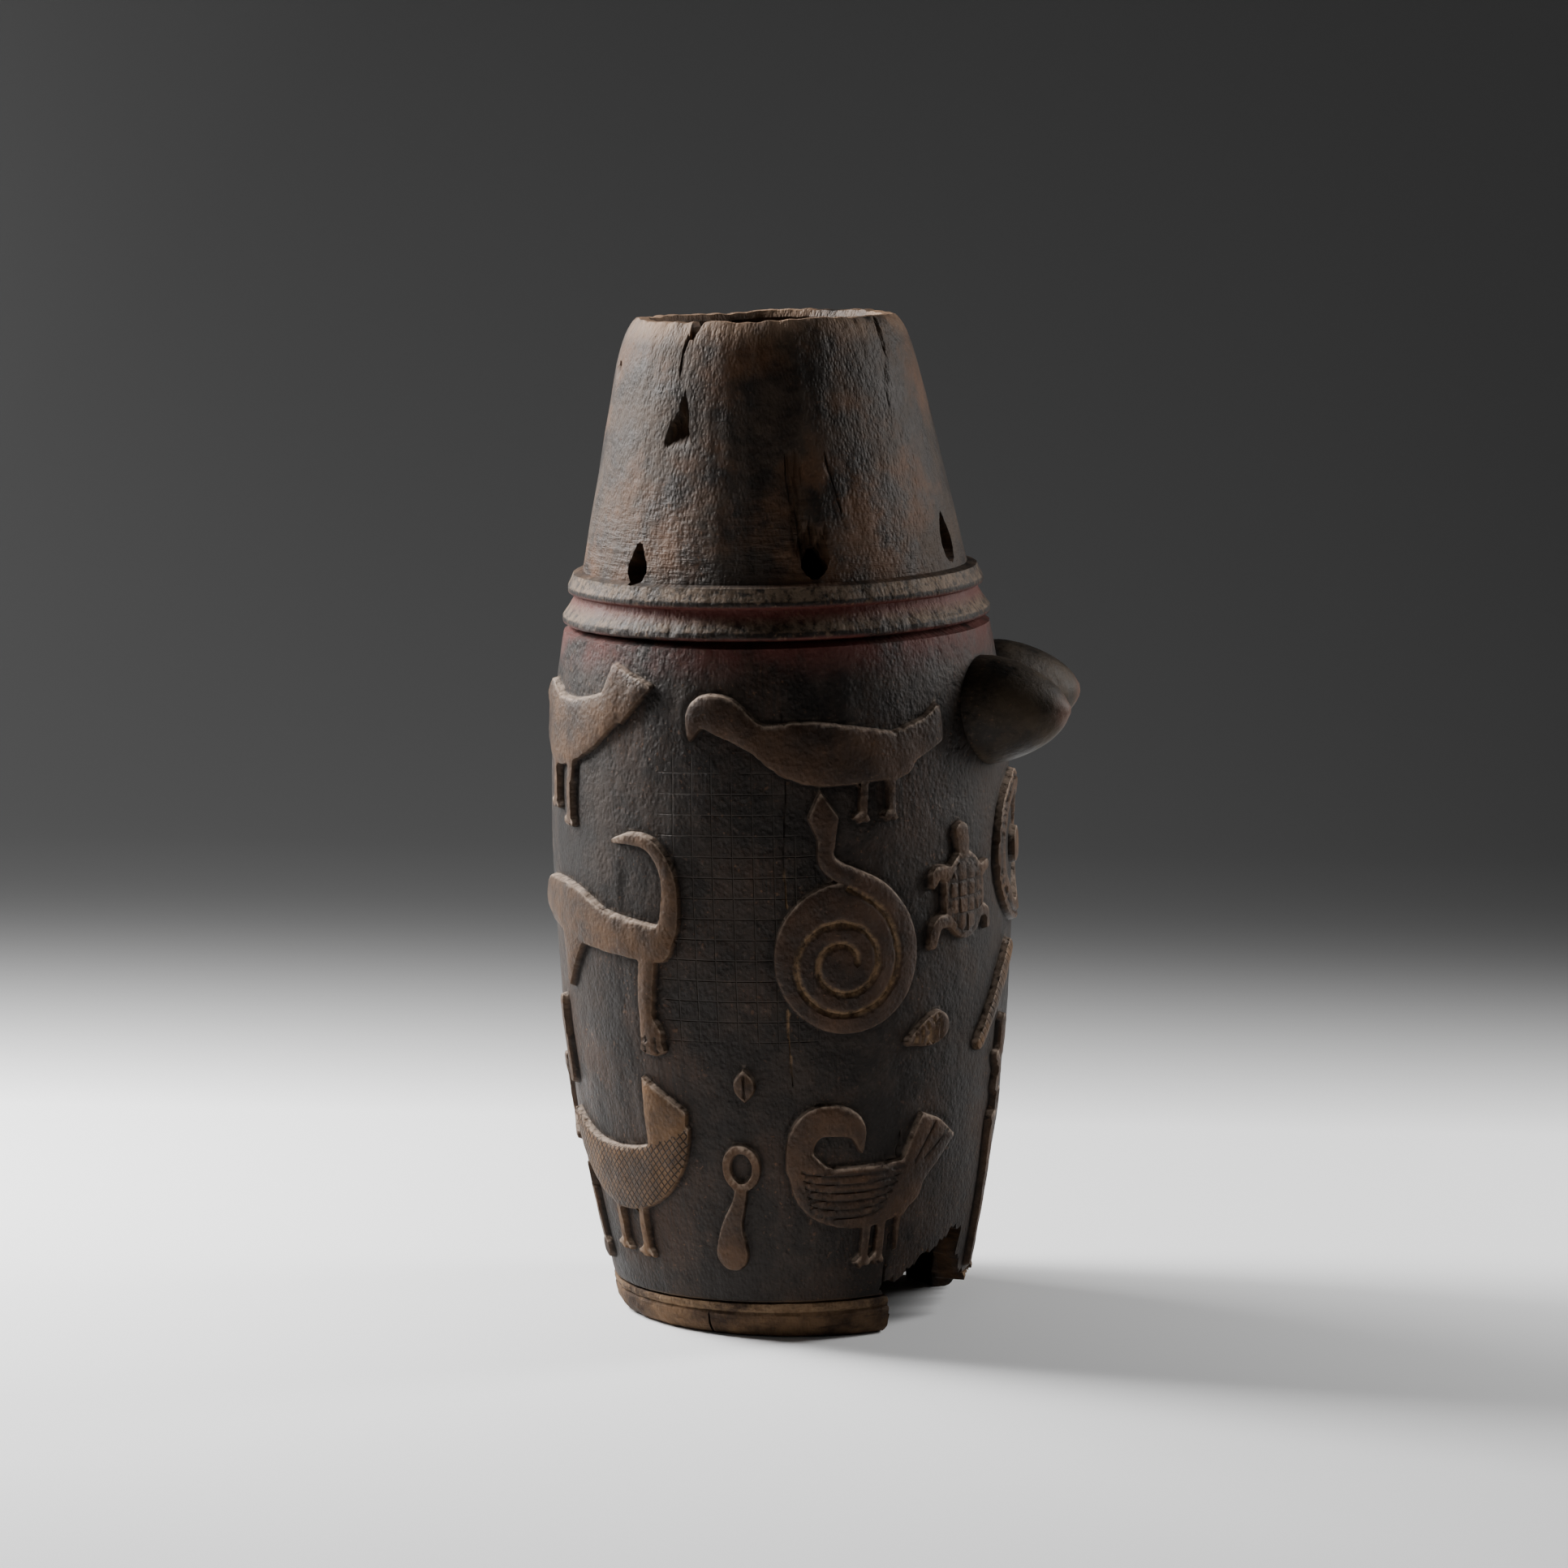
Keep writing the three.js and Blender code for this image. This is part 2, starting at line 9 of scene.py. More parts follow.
import bpy
import numpy as np
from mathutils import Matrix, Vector


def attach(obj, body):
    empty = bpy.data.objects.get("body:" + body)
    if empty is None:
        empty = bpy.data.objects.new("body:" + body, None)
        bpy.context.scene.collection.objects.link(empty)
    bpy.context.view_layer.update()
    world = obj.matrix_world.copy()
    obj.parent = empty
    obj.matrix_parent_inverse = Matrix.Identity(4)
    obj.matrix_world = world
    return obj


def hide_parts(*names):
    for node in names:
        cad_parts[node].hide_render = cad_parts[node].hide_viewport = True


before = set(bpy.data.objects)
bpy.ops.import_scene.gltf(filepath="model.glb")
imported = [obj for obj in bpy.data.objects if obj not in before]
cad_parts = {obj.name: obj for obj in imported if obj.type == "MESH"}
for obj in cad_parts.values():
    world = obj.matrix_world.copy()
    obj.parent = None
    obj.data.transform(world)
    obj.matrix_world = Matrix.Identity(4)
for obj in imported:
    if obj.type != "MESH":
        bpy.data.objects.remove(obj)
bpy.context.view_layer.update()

# Sizes of the body, in millimetres and degrees
RIM_HEIGHT = 1152.0
RIM_RADIUS = 152.0
RIM_ROUNDING = 60.0
RIM_EDGE = 5.0
RIM_WEAR = 4.0
BACK_WEAR = 7.0
MOST_WORN_ANGLE = 96.0
NECK_TOP_RADIUS = 172.0
NECK_SHIFT = 3.5
NECK_FOOT_RADIUS = 221.0
UPPER_RING_TOP = 858.0
UPPER_RING_HEIGHT = 24.0
UPPER_RING_RADIUS = 238.0
LOWER_RING_TOP = 829.0
LOWER_RING_HEIGHT = 31.0
LOWER_RING_RADIUS = 245.0
GROOVE_RADIUS = 231.0
SHOULDER_HEIGHT = 792.0
SHOULDER_RADIUS = 244.0
BELLY_HEIGHT = 560.0
BELLY_RADIUS = 264.0
FOOT_RADIUS = 207.0
BASE_RING_HEIGHT = 42.0
BASE_RING_RADIUS = 207.0
BASE_RING_ROUNDING = 18.0
LEAN = math.radians(1.46)
LOWER_CURVE = 2.15
UPPER_CURVE = 2.3

# Wall thickness from the rim down, and the hollow's radius at the foot
RIM_WALL = 20.0
NECK_WALL = 25.0
BODY_WALL = 30.0
FOOT_HOLLOW_RADIUS = 174.0

# Sizes of the carving
RELIEF = 9.0
BREAST_HEIGHT = 700.0
BREAST_RADIUS = 62.0
BREAST_LENGTH = 99.0
BREAST_REACH = 78.0
NIPPLE_RADIUS = 7.0
BREAST_ANGLES = (-17.0, 17.0)
PEG_HOLE_WIDTH = 32.0
PEG_HOLE_SLANT = math.radians(18.0)
# Each hole's angle from the front, its bottom and its top
PEG_HOLES = (
    (-129, 853, 908), (-72, 863, 907), (-18, 864, 928), (30, 860, 912), (100, 858, 914), (168, 860, 910),
)

# Where the drum's axis meets the floor, in the frame's metres
AXIS_FOOT = (-0.0212, -0.0015)

# The photograph's camera: its turn round the drum, its height and its pitch
VIEW_TURN = math.radians(6.0)
VIEW_DISTANCE = 7.0
VIEW_HEIGHT = 1.62
VIEW_PITCH = math.radians(8.24)
VIEW_LENS = 141.0
VIEW_SIDE_STEP = 0.0114

# The studio: where painted shade starts to darken the pale floor and where it is full, and the sweep up to
# the wall
FLOOR_SHADE_START = 1.05
FLOOR_SHADE_END = 3.2
SWEEP_START = 3.4
SWEEP_RADIUS = 2.5
WALL_HEIGHT = 7.0
STAGE_HALF = 8.0
PALE_PAPER = (0.82, 0.82, 0.82)
# The dark colour is the wall's paper; on the floor behind the drum it is painted shade where the lamps'
# light falls off
DARK_PAPER_AND_SHADE = (0.070, 0.070, 0.070)
WORLD_STRENGTH = 0.02
# Soft boxes: name, place, target and size across and up in metres, and power in watts
SOFT_BOXES = (
    ("key_from_left", (-2.2, 0.45, 2.0), (0, 0, 0.75), (0.7, 1.8), 182),
    ("light_from_right", (2.2, 0.85, 1.5), (0, 0, 0.7), (0.6, 1.8), 64),
    ("front_fill", (-0.6, -4.0, 2.6), (0, 0, 0.6), (2.0, 1.5), 8),
    ("floor_light", (-2.7, 1.1, 2.6), (-1.3, 0.6, 0), (1.6, 1.4), 172),
    ("wall_light", (-4.2, 3.4, 1.6), (-3.3, 5.9, 0.5), (1.2, 1.2), 100),
)

# Columns round the drum, about what share of them lies on the seen half, and rows up it
COLUMNS = 345
SEEN_SHARE = 0.65
BASE_ROWS = 12
BELLY_ROWS = 202
RING_ROWS = 16
NECK_ROWS = 34
HOLLOW_ROWS = 8

# Crispness of carved edges, grooves and the breasts' creases: how near grid lines are drawn to them,
# and from how far
EDGE_GAP = 0.7
EDGE_PULL = 8.0
SHARP_ANGLE = math.radians(38.0)
ALONG_GROOVE = 8.0
CREASE_CATCH = 3.3
CREASE_PULL = 9.0
FAR_FROM_EDGE = 30.0
WIDEST_FIGURE = 260.0

MM = 0.001


# Profile of the body

def body_radius(height):
    """Belly radius: the widest radius less a power of the share of the way to the foot or shoulder."""
    drop = np.clip((BELLY_HEIGHT - height) / (BELLY_HEIGHT - BASE_RING_HEIGHT), 0, None)
    rise = np.clip((height - BELLY_HEIGHT) / (SHOULDER_HEIGHT - BELLY_HEIGHT), 0, None)
    low = (BELLY_RADIUS - FOOT_RADIUS) * drop ** LOWER_CURVE
    high = (BELLY_RADIUS - SHOULDER_RADIUS) * rise ** UPPER_CURVE
    return BELLY_RADIUS - low - high


def ring_profile(top, tall, crest):
    """One raised ring: undercut below, an upright crest, then a long slope back in."""
    up = np.array([0.0, 0.06, 0.12, 0.20, 0.38, 0.47, 0.74, 1.0])
    out = np.array([0.0, 0.40, 0.86, 1.0, 0.98, 0.84, 0.40, 0.05])
    return GROOVE_RADIUS + (crest - GROOVE_RADIUS) * out, top - tall + up * tall


def neck_radius(height):
    """A straight cone up to the rounding, then a bow in to the rim."""
    top = RIM_HEIGHT - RIM_ROUNDING
    bow_heights = top + RIM_ROUNDING * np.array([0.4, 0.72])
    bow_radii = RIM_RADIUS + (NECK_TOP_RADIUS - RIM_RADIUS) * np.array([0.68, 0.35])
    heights = [UPPER_RING_TOP, top, *bow_heights, RIM_HEIGHT - RIM_EDGE]
    radii = [NECK_FOOT_RADIUS, NECK_TOP_RADIUS, *bow_radii, RIM_RADIUS]
    return np.interp(height, heights, radii)


def section():
    """The drum's cut outline as radius and height from the underside's inner edge, up outside, over
    the rim and down inside: base ring, belly, two rings, neck, rim, hollow."""
    base_y = np.array([0.0, 1.5, 4.0, 8.0, 14.0, 21.0, 27.0, 30.5, 33.0, 37.0, 41.0, 43.5])
    bend = np.sqrt(1 - (1 - np.clip(base_y / (1.6 * BASE_RING_ROUNDING), 0, 1)) ** 2)
    base_r = BASE_RING_RADIUS - BASE_RING_ROUNDING * (1 - bend)
    base_r[-5:] = BASE_RING_RADIUS + np.array([-2.6, 0.2, 1.4, 0.2, -4.0])
    belly_y = np.linspace(BASE_RING_HEIGHT + 2, SHOULDER_HEIGHT, BELLY_ROWS)
    lower_r, lower_y = ring_profile(LOWER_RING_TOP, LOWER_RING_HEIGHT, LOWER_RING_RADIUS)
    upper_r, upper_y = ring_profile(UPPER_RING_TOP, UPPER_RING_HEIGHT, UPPER_RING_RADIUS)
    neck_y = np.linspace(UPPER_RING_TOP + 3, RIM_HEIGHT - RIM_EDGE, NECK_ROWS)
    rim_r = np.array([RIM_RADIUS - 4, RIM_RADIUS - 9, RIM_RADIUS - RIM_WALL + 4])
    rim_y = np.array([RIM_HEIGHT - 0.5, RIM_HEIGHT, RIM_HEIGHT - 1])
    hollow_y = np.linspace(RIM_HEIGHT - 2 * RIM_EDGE, BASE_RING_HEIGHT + BODY_WALL, HOLLOW_ROWS)
    neck_levels = [SHOULDER_HEIGHT, UPPER_RING_TOP, RIM_HEIGHT - RIM_ROUNDING, RIM_HEIGHT - 2 * RIM_EDGE]
    neck_outside = np.array([SHOULDER_RADIUS, NECK_FOOT_RADIUS, NECK_TOP_RADIUS, RIM_RADIUS])
    neck_walls = np.array([BODY_WALL, NECK_WALL, NECK_WALL, RIM_WALL])
    neck_in = np.interp(hollow_y, neck_levels, neck_outside - neck_walls)
    hollow_r = np.where(hollow_y > SHOULDER_HEIGHT, neck_in, body_radius(hollow_y) - BODY_WALL)
    foot_r = np.array([FOOT_HOLLOW_RADIUS, FOOT_HOLLOW_RADIUS])
    foot_y = np.array([BASE_RING_HEIGHT, 0.0])
    radius = [base_r, body_radius(belly_y), lower_r, upper_r, neck_radius(neck_y), rim_r, hollow_r, foot_r]
    height = [base_y, belly_y, lower_y, upper_y, neck_y, rim_y, hollow_y, foot_y]
    return np.concatenate(radius), np.concatenate(height)


# Distances in the flat drawing of the surface, negative inside a shape

def curve(path, steps=4):
    """A smooth path through its points: every stretch is a cubic that leaves a point in the direction
    from the point before to the point after."""
    points = np.array(path, float)
    if len(points) < 3:
        return points
    ends = np.vstack([2 * points[0] - points[1], points, 2 * points[-1] - points[-2]])
    t = np.linspace(0, 1, steps, endpoint=False)[None, :, None]
    a, b, c, d = (ends[start:start + len(points) - 1, None, :] for start in range(4))
    bends = b + 0.5 * t * ((c - a) + t * ((2 * a - 5 * b + 4 * c - d) + t * (3 * b - a - 3 * c + d)))
    return np.vstack([bends.reshape(-1, points.shape[1]), points[-1]])


def off_run(x, y, start, run):
    """Distance to a straight run, and the share of the way along it where it is nearest."""
    along = ((x - start[0]) * run[0] + (y - start[1]) * run[1]) / (run[0] ** 2 + run[1] ** 2)
    along = np.clip(along, 0, 1)
    return np.hypot(x - start[0] - along * run[0], y - start[1] - along * run[1]), along


def stroke(*path):
    """A smooth path of (x, y, half width): the least distance to its short runs, less the width there."""
    points = curve(path)
    points[:, 2] = np.maximum(points[:, 2], 0)

    def distance(x, y):
        best = np.full(x.shape, np.inf)
        for start, run in zip(points[:-1], np.diff(points, axis=0)):
            gap, along = off_run(x, y, start, run)
            best = np.minimum(best, gap - start[2] - along * run[2])
        return best
    return distance


def face(*corners):
    """A flat shape of corners: distance to the nearest side, negative where a ray meets an odd count."""
    points = np.array(corners, float)

    def distance(x, y):
        best = np.full(x.shape, np.inf)
        inside = np.zeros(x.shape, bool)
        for start, end in zip(points, np.roll(points, -1, axis=0)):
            run = end - start
            best = np.minimum(best, off_run(x, y, start, run)[0])
            level = (start[1] > y) != (end[1] > y)
            crossing = start[0] + (y - start[1]) * run[0] / (run[1] if run[1] else 1e-9)
            inside ^= level & (x < crossing)
        return np.where(inside, -best, best)
    return distance


def oval(cx, cy, across, up):
    """An oval: how far along the ray from its centre a point lies beyond the edge."""
    def distance(x, y):
        reach = np.hypot(x - cx, y - cy)
        share = np.maximum(np.hypot((x - cx) / across, (y - cy) / up), 1e-6)
        return reach - reach / share
    return distance


def ring(cx, cy, across, up, width):
    """An oval less a smaller one."""
    outer = oval(cx, cy, across, up)
    inner = oval(cx, cy, across - width, up - width)
    return lambda x, y: np.maximum(outer(x, y), -inner(x, y))


def leaf(cx, cy, half_width, half_length):
    """A pointed leaf: half width falls with the square of the height from its middle."""
    def distance(x, y):
        up = (y - cy) / half_length
        side = np.abs(x - cx) - half_width * (1 - np.clip(up, -1, 1) ** 2)
        return np.maximum(side * 0.85, np.abs(y - cy) - half_length)
    return distance


def bowl(cx, cy, across, down, dip):
    """The lower part of an oval under a hollowed back."""
    hull = oval(cx, cy, across, down)

    def distance(x, y):
        share = np.clip((x - cx) / across, -1, 1)
        return np.maximum(hull(x, y), y - cy + dip * (1 - share ** 2))
    return distance


def turns_at(x, y, cx, cy):
    """Share of a clockwise turn from the right, and distance from the centre."""
    return np.mod(-np.arctan2(y - cy, x - cx) / (2 * math.pi), 1.0), np.hypot(x - cx, y - cy)


def coil(cx, cy, radius, pitch, width):
    """A coil seen as a disc: its edge draws in by one pitch over the first turn."""
    def distance(x, y):
        turn, reach = turns_at(x, y, cx, cy)
        return reach - (radius + width / 2 - pitch * turn)
    return distance


def coil_groove(cx, cy, radius, pitch, turns):
    """The line between a coil's bands: half a pitch inside each turn of the band."""
    def distance(x, y):
        turn, reach = turns_at(x, y, cx, cy)
        whole = np.round((radius - reach) / pitch - turn - 0.5)
        whole = np.clip(whole, 0, np.floor(turns - turn - 0.5))
        return np.abs(reach - (radius - pitch * (turn + whole + 0.5)))
    return distance


def spiral(cx, cy, start, pitch, turns, steps=26):
    """Points of a coil from its inner end at the right, anticlockwise: radius = start + pitch x turns, and
    past the second turn the square of what is left over is added, so that it runs out to the edge."""
    turn = np.linspace(0, turns, steps)
    reach = start + pitch * turn + 300 * np.maximum(turn - 2, 0) ** 2
    return list(zip(cx + reach * np.cos(2 * math.pi * turn), cy + reach * np.sin(2 * math.pi * turn)))


def line(*path):
    """Plain distance to a path of (x, y)."""
    inner = stroke(*[(x, y, 0.0) for x, y in path])
    return lambda x, y: np.abs(inner(x, y))


def joined(*parts):
    """Several shapes as one: the least of their distances."""
    return lambda x, y: np.min([part(x, y) for part in parts], axis=0)


def leg(across, top, bottom, half, toe):
    """A leg straight down that ends in three spread toes."""
    ankle = across + 0.2 * toe
    return joined(
        stroke((across, top, half), (ankle, bottom, half)),
        stroke((ankle, bottom, half), (across + toe, bottom - 4, 0.5 * half)),
        stroke((ankle, bottom, half), (ankle + 0.3 * toe, bottom - 9, 0.5 * half)),
        stroke((ankle, bottom, half), (ankle - 0.5 * toe, bottom - 8, 0.45 * half)),
    )


def bow(cx, cy, across, up, start, end, count=9):
    """Part of an oval's edge as a path of points, from start to end in degrees."""
    angle = np.radians(np.linspace(start, end, count))
    return list(zip(cx + across * np.cos(angle), cy + up * np.sin(angle)))


# The relief figures: angle from the front, how warm the paint is, the shapes that stand up and the lines
# cut into them. weave is the pattern scratched on a figure: 1 crossed, 2 slanting. groove is the half
# width and depth of its lines.
FIGURES = [
    # Bird with a square tail
    dict(angle=-144, tone=0.45, shapes=[
        face((43, 729), (62, 773), (125, 750), (80, 705)),
        stroke((70, 726, 18), (10, 698, 32), (-50, 690, 38), (-98, 726, 16), (-132, 712, 3)),
        leg(-50, 660, 609, 6, -16),
        leg(-10, 668, 592, 6, -16),
    ]),
    # Long bird
    dict(angle=-74, tone=0.2, shapes=[
        stroke((-148, 694, 3), (-136, 722, 16), (-108, 718, 22), (-70, 694, 17), (-10, 676, 35),
               (90, 668, 26)),
        face((80, 692), (131, 707), (156, 723), (157, 679), (84, 645)),
        leg(49, 640, 606, 5, -13),
        leg(83, 645, 606, 5, -13),
    ]),
    # Beast with a curled tail
    dict(angle=-129, tone=0.5, shapes=[
        stroke((2, 574, 3), (28, 578, 7), (56, 572, 8), (75, 543, 9), (78, 512, 11), (73, 478, 13),
               (58, 458, 18)),
        stroke((58, 460, 21), (-20, 469, 24), (-80, 484, 31), (-145, 492, 26), (-200, 486, 12),
               (-222, 474, 5)),
        face((-58, 456), (-112, 470), (-107, 390)),
        stroke((46, 452, 12), (40, 400, 11), (40, 372, 10), (44, 356, 16)),
        face((30, 354), (26, 336), (44, 330), (62, 336), (58, 354)),
    ], lines=[line((37, 352), (35, 332)), line((50, 352), (52, 332))]),
    # Coiled snake
    dict(angle=-70, tone=0.15, shapes=[
        face((-20, 635), (-35, 604), (-19, 566), (-6, 566), (0, 604)),
        stroke((-16, 574, 9), (-15, 556, 10), (-3, 543, 11), (18, 533, 11), (46, 516, 12), (68, 490, 12),
               (78, 462, 12), (79, 436, 11)),
        oval(8, 445, 84, 87),
    ], groove=(5.2, 4.2), lines=[line(*spiral(1, 439, 16, 24, 2.24))]),
    # Tortoise
    dict(angle=-36, tone=0.4, shapes=[
        stroke((4, 573, 11), (6, 560, 10), (8, 540, 8)),
        oval(9, 500, 35, 50),
        stroke((-16, 526, 9), (-34, 530, 8), (-41, 517, 5)),
        stroke((-12, 474, 9), (-34, 472, 8), (-43, 448, 6)),
        stroke((32, 522, 9), (50, 530, 6)),
        stroke((34, 480, 9), (50, 476, 6), (53, 460, 5)),
    ], groove=(1.2, 1.8), lines=[
        line(*bow(9, 500, 27, 42, 0, 360, 17)),
        line((-6, 536), (-4, 500), (-7, 466)),
        line((9, 540), (10, 500), (8, 460)),
        line((24, 534), (23, 500), (25, 468)),
        line((-17, 516), (35, 518)), line((-18, 498), (36, 500)), line((-16, 480), (34, 481)),
    ]),
    # Shell
    dict(angle=-46, tone=0.25, shapes=[
        stroke((-27, 341, 5), (-8, 347, 13), (6, 352, 18), (13, 355, 18)),
    ], groove=(1.1, 2.2), lines=[
        line(*bow(-34 + 8.5 * step, 348, 8, 12 + 2.6 * step, -80, 80, 7)) for step in range(1, 6)
    ]),
    # Small leaf
    dict(angle=-95, tone=0.5, shapes=[leaf(0, 301, 13, 19)], lines=[line((0, 316), (0, 286))]),
    # Ring on a stem
    dict(angle=-98, tone=0.35, shapes=[
        ring(5, 205, 24, 28, 11),
        stroke((3, 178, 8), (-2, 160, 9), (-12, 134, 14), (-15, 104, 22)),
    ]),
    # Bird with a deep body
    dict(angle=-130, tone=0.95, weave=1, shapes=[
        bowl(-28, 250, 117, 107, 32),
        face((28, 306), (88, 268), (82, 225), (28, 220)),
        leg(-48, 148, 102, 6, -20),
        leg(-1, 152, 98, 6, -18),
    ], lines=[line((29, 300), (30, 226))]),
    # Bird looking back
    dict(angle=-67, tone=0.25, shapes=[
        stroke((11, 221, 3), (4, 246, 12), (-18, 257, 18), (-46, 256, 18), (-63, 236, 17), (-66, 205, 17)),
        stroke((-64, 212, 17), (-44, 178, 30), (-10, 167, 36), (35, 167, 36), (70, 176, 30)),
        face((62, 196), (92, 257), (121, 246), (149, 224), (104, 178), (73, 138), (40, 140)),
        stroke((102, 196, 4), (82, 168, 4), (68, 140, 3), (67, 98, 2)),
        leg(22, 138, 92, 6, -15),
        leg(43, 138, 95, 6, -14),
    ], groove=(1.1, 1.5), lines=[
        *(line(*bow(4 - 2 * row, 201 - 9 * row, 68 - 4 * row, 8 + row, 190, 345)) for row in range(6)),
        line((84, 202), (112, 244)),
        line((96, 202), (134, 232)),
    ]),
    # Round frame
    dict(angle=0, tone=0.5, shapes=[ring(0, 535, 87, 87, 25), oval(0, 535, 22, 22)],
         lines=[line(*bow(0, 535, 78, 78, 0, 360, 25))]),
    # Worn slanting band
    dict(angle=-16, tone=1.0, weave=2, shapes=[stroke((34, 420, 12), (4, 386, 11), (-46, 323, 8))]),
    # Notched band
    dict(angle=-13, tone=0.3, shapes=[
        stroke((8, 338, 9), (6, 302, 8)),
        stroke((-8, 300, 6), (2, 284, 7), (-4, 262, 6)),
        stroke((6, 255, 8), (2, 228, 8)),
    ]),
    # Long upright band
    dict(angle=-14, tone=0.3, shapes=[stroke((2, 226, 7), (2, 58, 7))]),
    # Left upright band
    dict(angle=-160, tone=0.4, shapes=[
        stroke((0, 372, 8), (2, 282, 7)),
        stroke((8, 180, 5), (10, 96, 5)),
        oval(10, 82, 11, 13),
    ]),
    # Crocodile
    dict(angle=150, tone=0.4, weave=1, shapes=[
        stroke((-150, 470, 4), (-90, 462, 14), (-30, 460, 30), (40, 462, 31), (90, 464, 20), (150, 468, 8)),
        stroke((-34, 406, 8), (0, 462, 14), (-34, 518, 8)),
        stroke((74, 406, 8), (44, 462, 14), (74, 518, 8)),
    ], lines=[line((-60, 462), (96, 464))]),
    # Bird on the far side
    dict(angle=148, tone=0.5, weave=2, shapes=[
        stroke((-120, 714, 3), (-88, 726, 16), (-50, 700, 18), (0, 682, 33), (46, 680, 24)),
        face((36, 700), (98, 726), (104, 690), (44, 660)),
        leg(-6, 654, 610, 6, -14),
        leg(26, 660, 612, 6, -14),
    ], lines=[line((60, 706), (64, 672))]),
    # Fish on the far side
    dict(angle=96, tone=0.4, weave=1, shapes=[
        stroke((-84, 690, 10), (-46, 690, 24), (8, 690, 26), (54, 690, 10)),
        face((46, 692), (92, 722), (84, 690), (92, 658)),
    ], lines=[line((-54, 708), (-46, 690), (-54, 672))]),
    # Coil on the far side
    dict(angle=88, tone=0.2, shapes=[coil(0, 470, 66, 34, 20)],
         lines=[coil_groove(0, 470, 66, 34, 2.2)]),
    # Beast on the far side
    dict(angle=112, tone=0.45, shapes=[
        stroke((-84, 304, 5), (-104, 280, 8), (-80, 238, 22), (-10, 226, 26), (56, 232, 24), (94, 250, 14),
               (114, 238, 5)),
        leg(-66, 220, 152, 9, 16),
        leg(44, 214, 152, 9, 16),
    ]),
    # Leaf on the far side
    dict(angle=52, tone=0.5, shapes=[leaf(0, 270, 34, 58), stroke((0, 214, 5), (0, 160, 5))],
         lines=[line((0, 322), (0, 218))]),
    # Tortoise on the far side
    dict(angle=176, tone=0.4, shapes=[
        oval(0, 250, 40, 50),
        oval(0, 316, 13, 17),
        stroke((-54, 296, 7), (0, 262, 12), (54, 296, 7)),
        stroke((-54, 204, 7), (0, 238, 12), (54, 204, 7)),
    ], lines=[
        line(*bow(0, 250, 31, 41, 0, 360, 17)),
        line((-31, 250), (31, 250)),
        line((0, 209), (0, 291)),
    ]),
]

# Rotted places sunk into the neck: angle, depth and shape. Their outlines are in the same flat drawing.
HOLLOWS = [
    dict(angle=-34, depth=5, shapes=[
        stroke((-30, 1010, 1), (-10, 1050, 2), (2, 1082, 4), (14, 1112, 5), (22, 1156, 8)),
    ]),
    dict(angle=-116.7, depth=13, shapes=[face((-31, 1014), (22, 1015), (10, 1073))]),
    dict(angle=-76, depth=4.5, shapes=[face((-14, 890), (13, 890), (13, 1004), (4, 1011), (-13, 1006))]),
    dict(angle=-72, depth=13, shapes=[
        face((-20, 880), (20, 880), (21, 926), (8, 912), (2, 932), (-12, 922), (-20, 934)),
    ]),
    dict(angle=-160, depth=9, shapes=[oval(0, 1092, 15, 8)]),
]

# Cracks that run up the wood: angle, depth, half width and path
CRACKS = [
    dict(angle=-54, depth=3.5, half=1.3, path=((6, 236), (1, 190), (4, 140), (-2, 92), (-4, 56))),
    dict(angle=-83, depth=1.6, half=0.8, path=(
        (0, 720), (2, 640), (-2, 560), (1, 470), (-2, 380), (2, 300),
    )),
    dict(angle=-78, depth=2.5, half=1.0, path=((-4, 1004), (-5, 980), (-2, 954))),
    dict(angle=-77, depth=2.5, half=1.0, path=((2, 938), (4, 908))),
    dict(angle=-64, depth=2.2, half=0.9, path=((-6, 1002), (2, 970), (12, 934))),
    dict(angle=-122, depth=3.5, half=1.2, path=((30, 1143), (22, 1128), (16, 1112), (18, 1092))),
    dict(angle=150, depth=3.0, half=1.2, path=((0, 1130), (4, 1040), (-3, 960), (2, 890))),
    dict(angle=60, depth=3.0, half=1.2, path=((0, 600), (4, 480), (-3, 360), (2, 200), (0, 60))),
    dict(angle=122, depth=2.2, half=1.0, path=((0, 780), (4, 700), (-3, 640))),
]


def around(angle, degrees):
    """Turn in radians from an angle in degrees, the short way round."""
    return np.mod(angle - math.radians(degrees) + math.pi, 2 * math.pi) - math.pi


def slope(distance, x, y):
    """Direction in which a distance grows, from two small steps."""
    step = 0.2
    here = distance(x, y)
    right = distance(x + step, y) - here
    up = distance(x, y + step) - here
    size = np.maximum(np.hypot(right, up), 1e-9)
    return here, right / size, up / size


def pull_to_edge(distance, x, y, gap=EDGE_GAP, reach=EDGE_PULL):
    """Moves points near an edge so that one row lies just each side of it: |d| becomes
    gap + (reach - gap) (|d| / reach) ^ 2.2."""
    here, right, up = slope(distance, x, y)
    size = np.abs(here)
    wanted = gap + (reach - gap) * (np.minimum(size, reach) / reach) ** 2.2
    shift = np.where(size < reach, wanted - size, 0.0) * np.sign(here)
    return x + shift * right, y + shift * up


def pull_to_line(distance, x, y, half, catch, reach=EDGE_PULL):
    """Moves the nearest points onto a line, and the next ones to the shoulders of its groove."""
    here, right, up = slope(distance, x, y)
    beyond = half + (reach - half) * (np.clip((here - catch) / (reach - catch), 0, 1)) ** 1.4
    wanted = np.where(here < catch, 0.0, beyond)
    shift = np.where(here < reach, wanted - here, 0.0)
    return x + shift * right, y + shift * up


def smooth(value, low, high):
    """0 below low, 1 above high, and a smooth S between."""
    share = np.clip((value - low) / (high - low), 0, 1)
    return share * share * (3 - 2 * share)


def wobble(x, y, size, seed):
    """Slow unevenness of a hand-cut surface: six crossing waves of about one size."""
    total = np.zeros(np.broadcast(x, y).shape)
    for number in range(6):
        turn = seed + 2.4 * number
        scale = 2 * math.pi / (size * (0.7 + 0.13 * number))
        total += np.sin(scale * (x * math.cos(turn) + y * math.sin(turn)) + 1.7 * seed * number)
    return total / 6


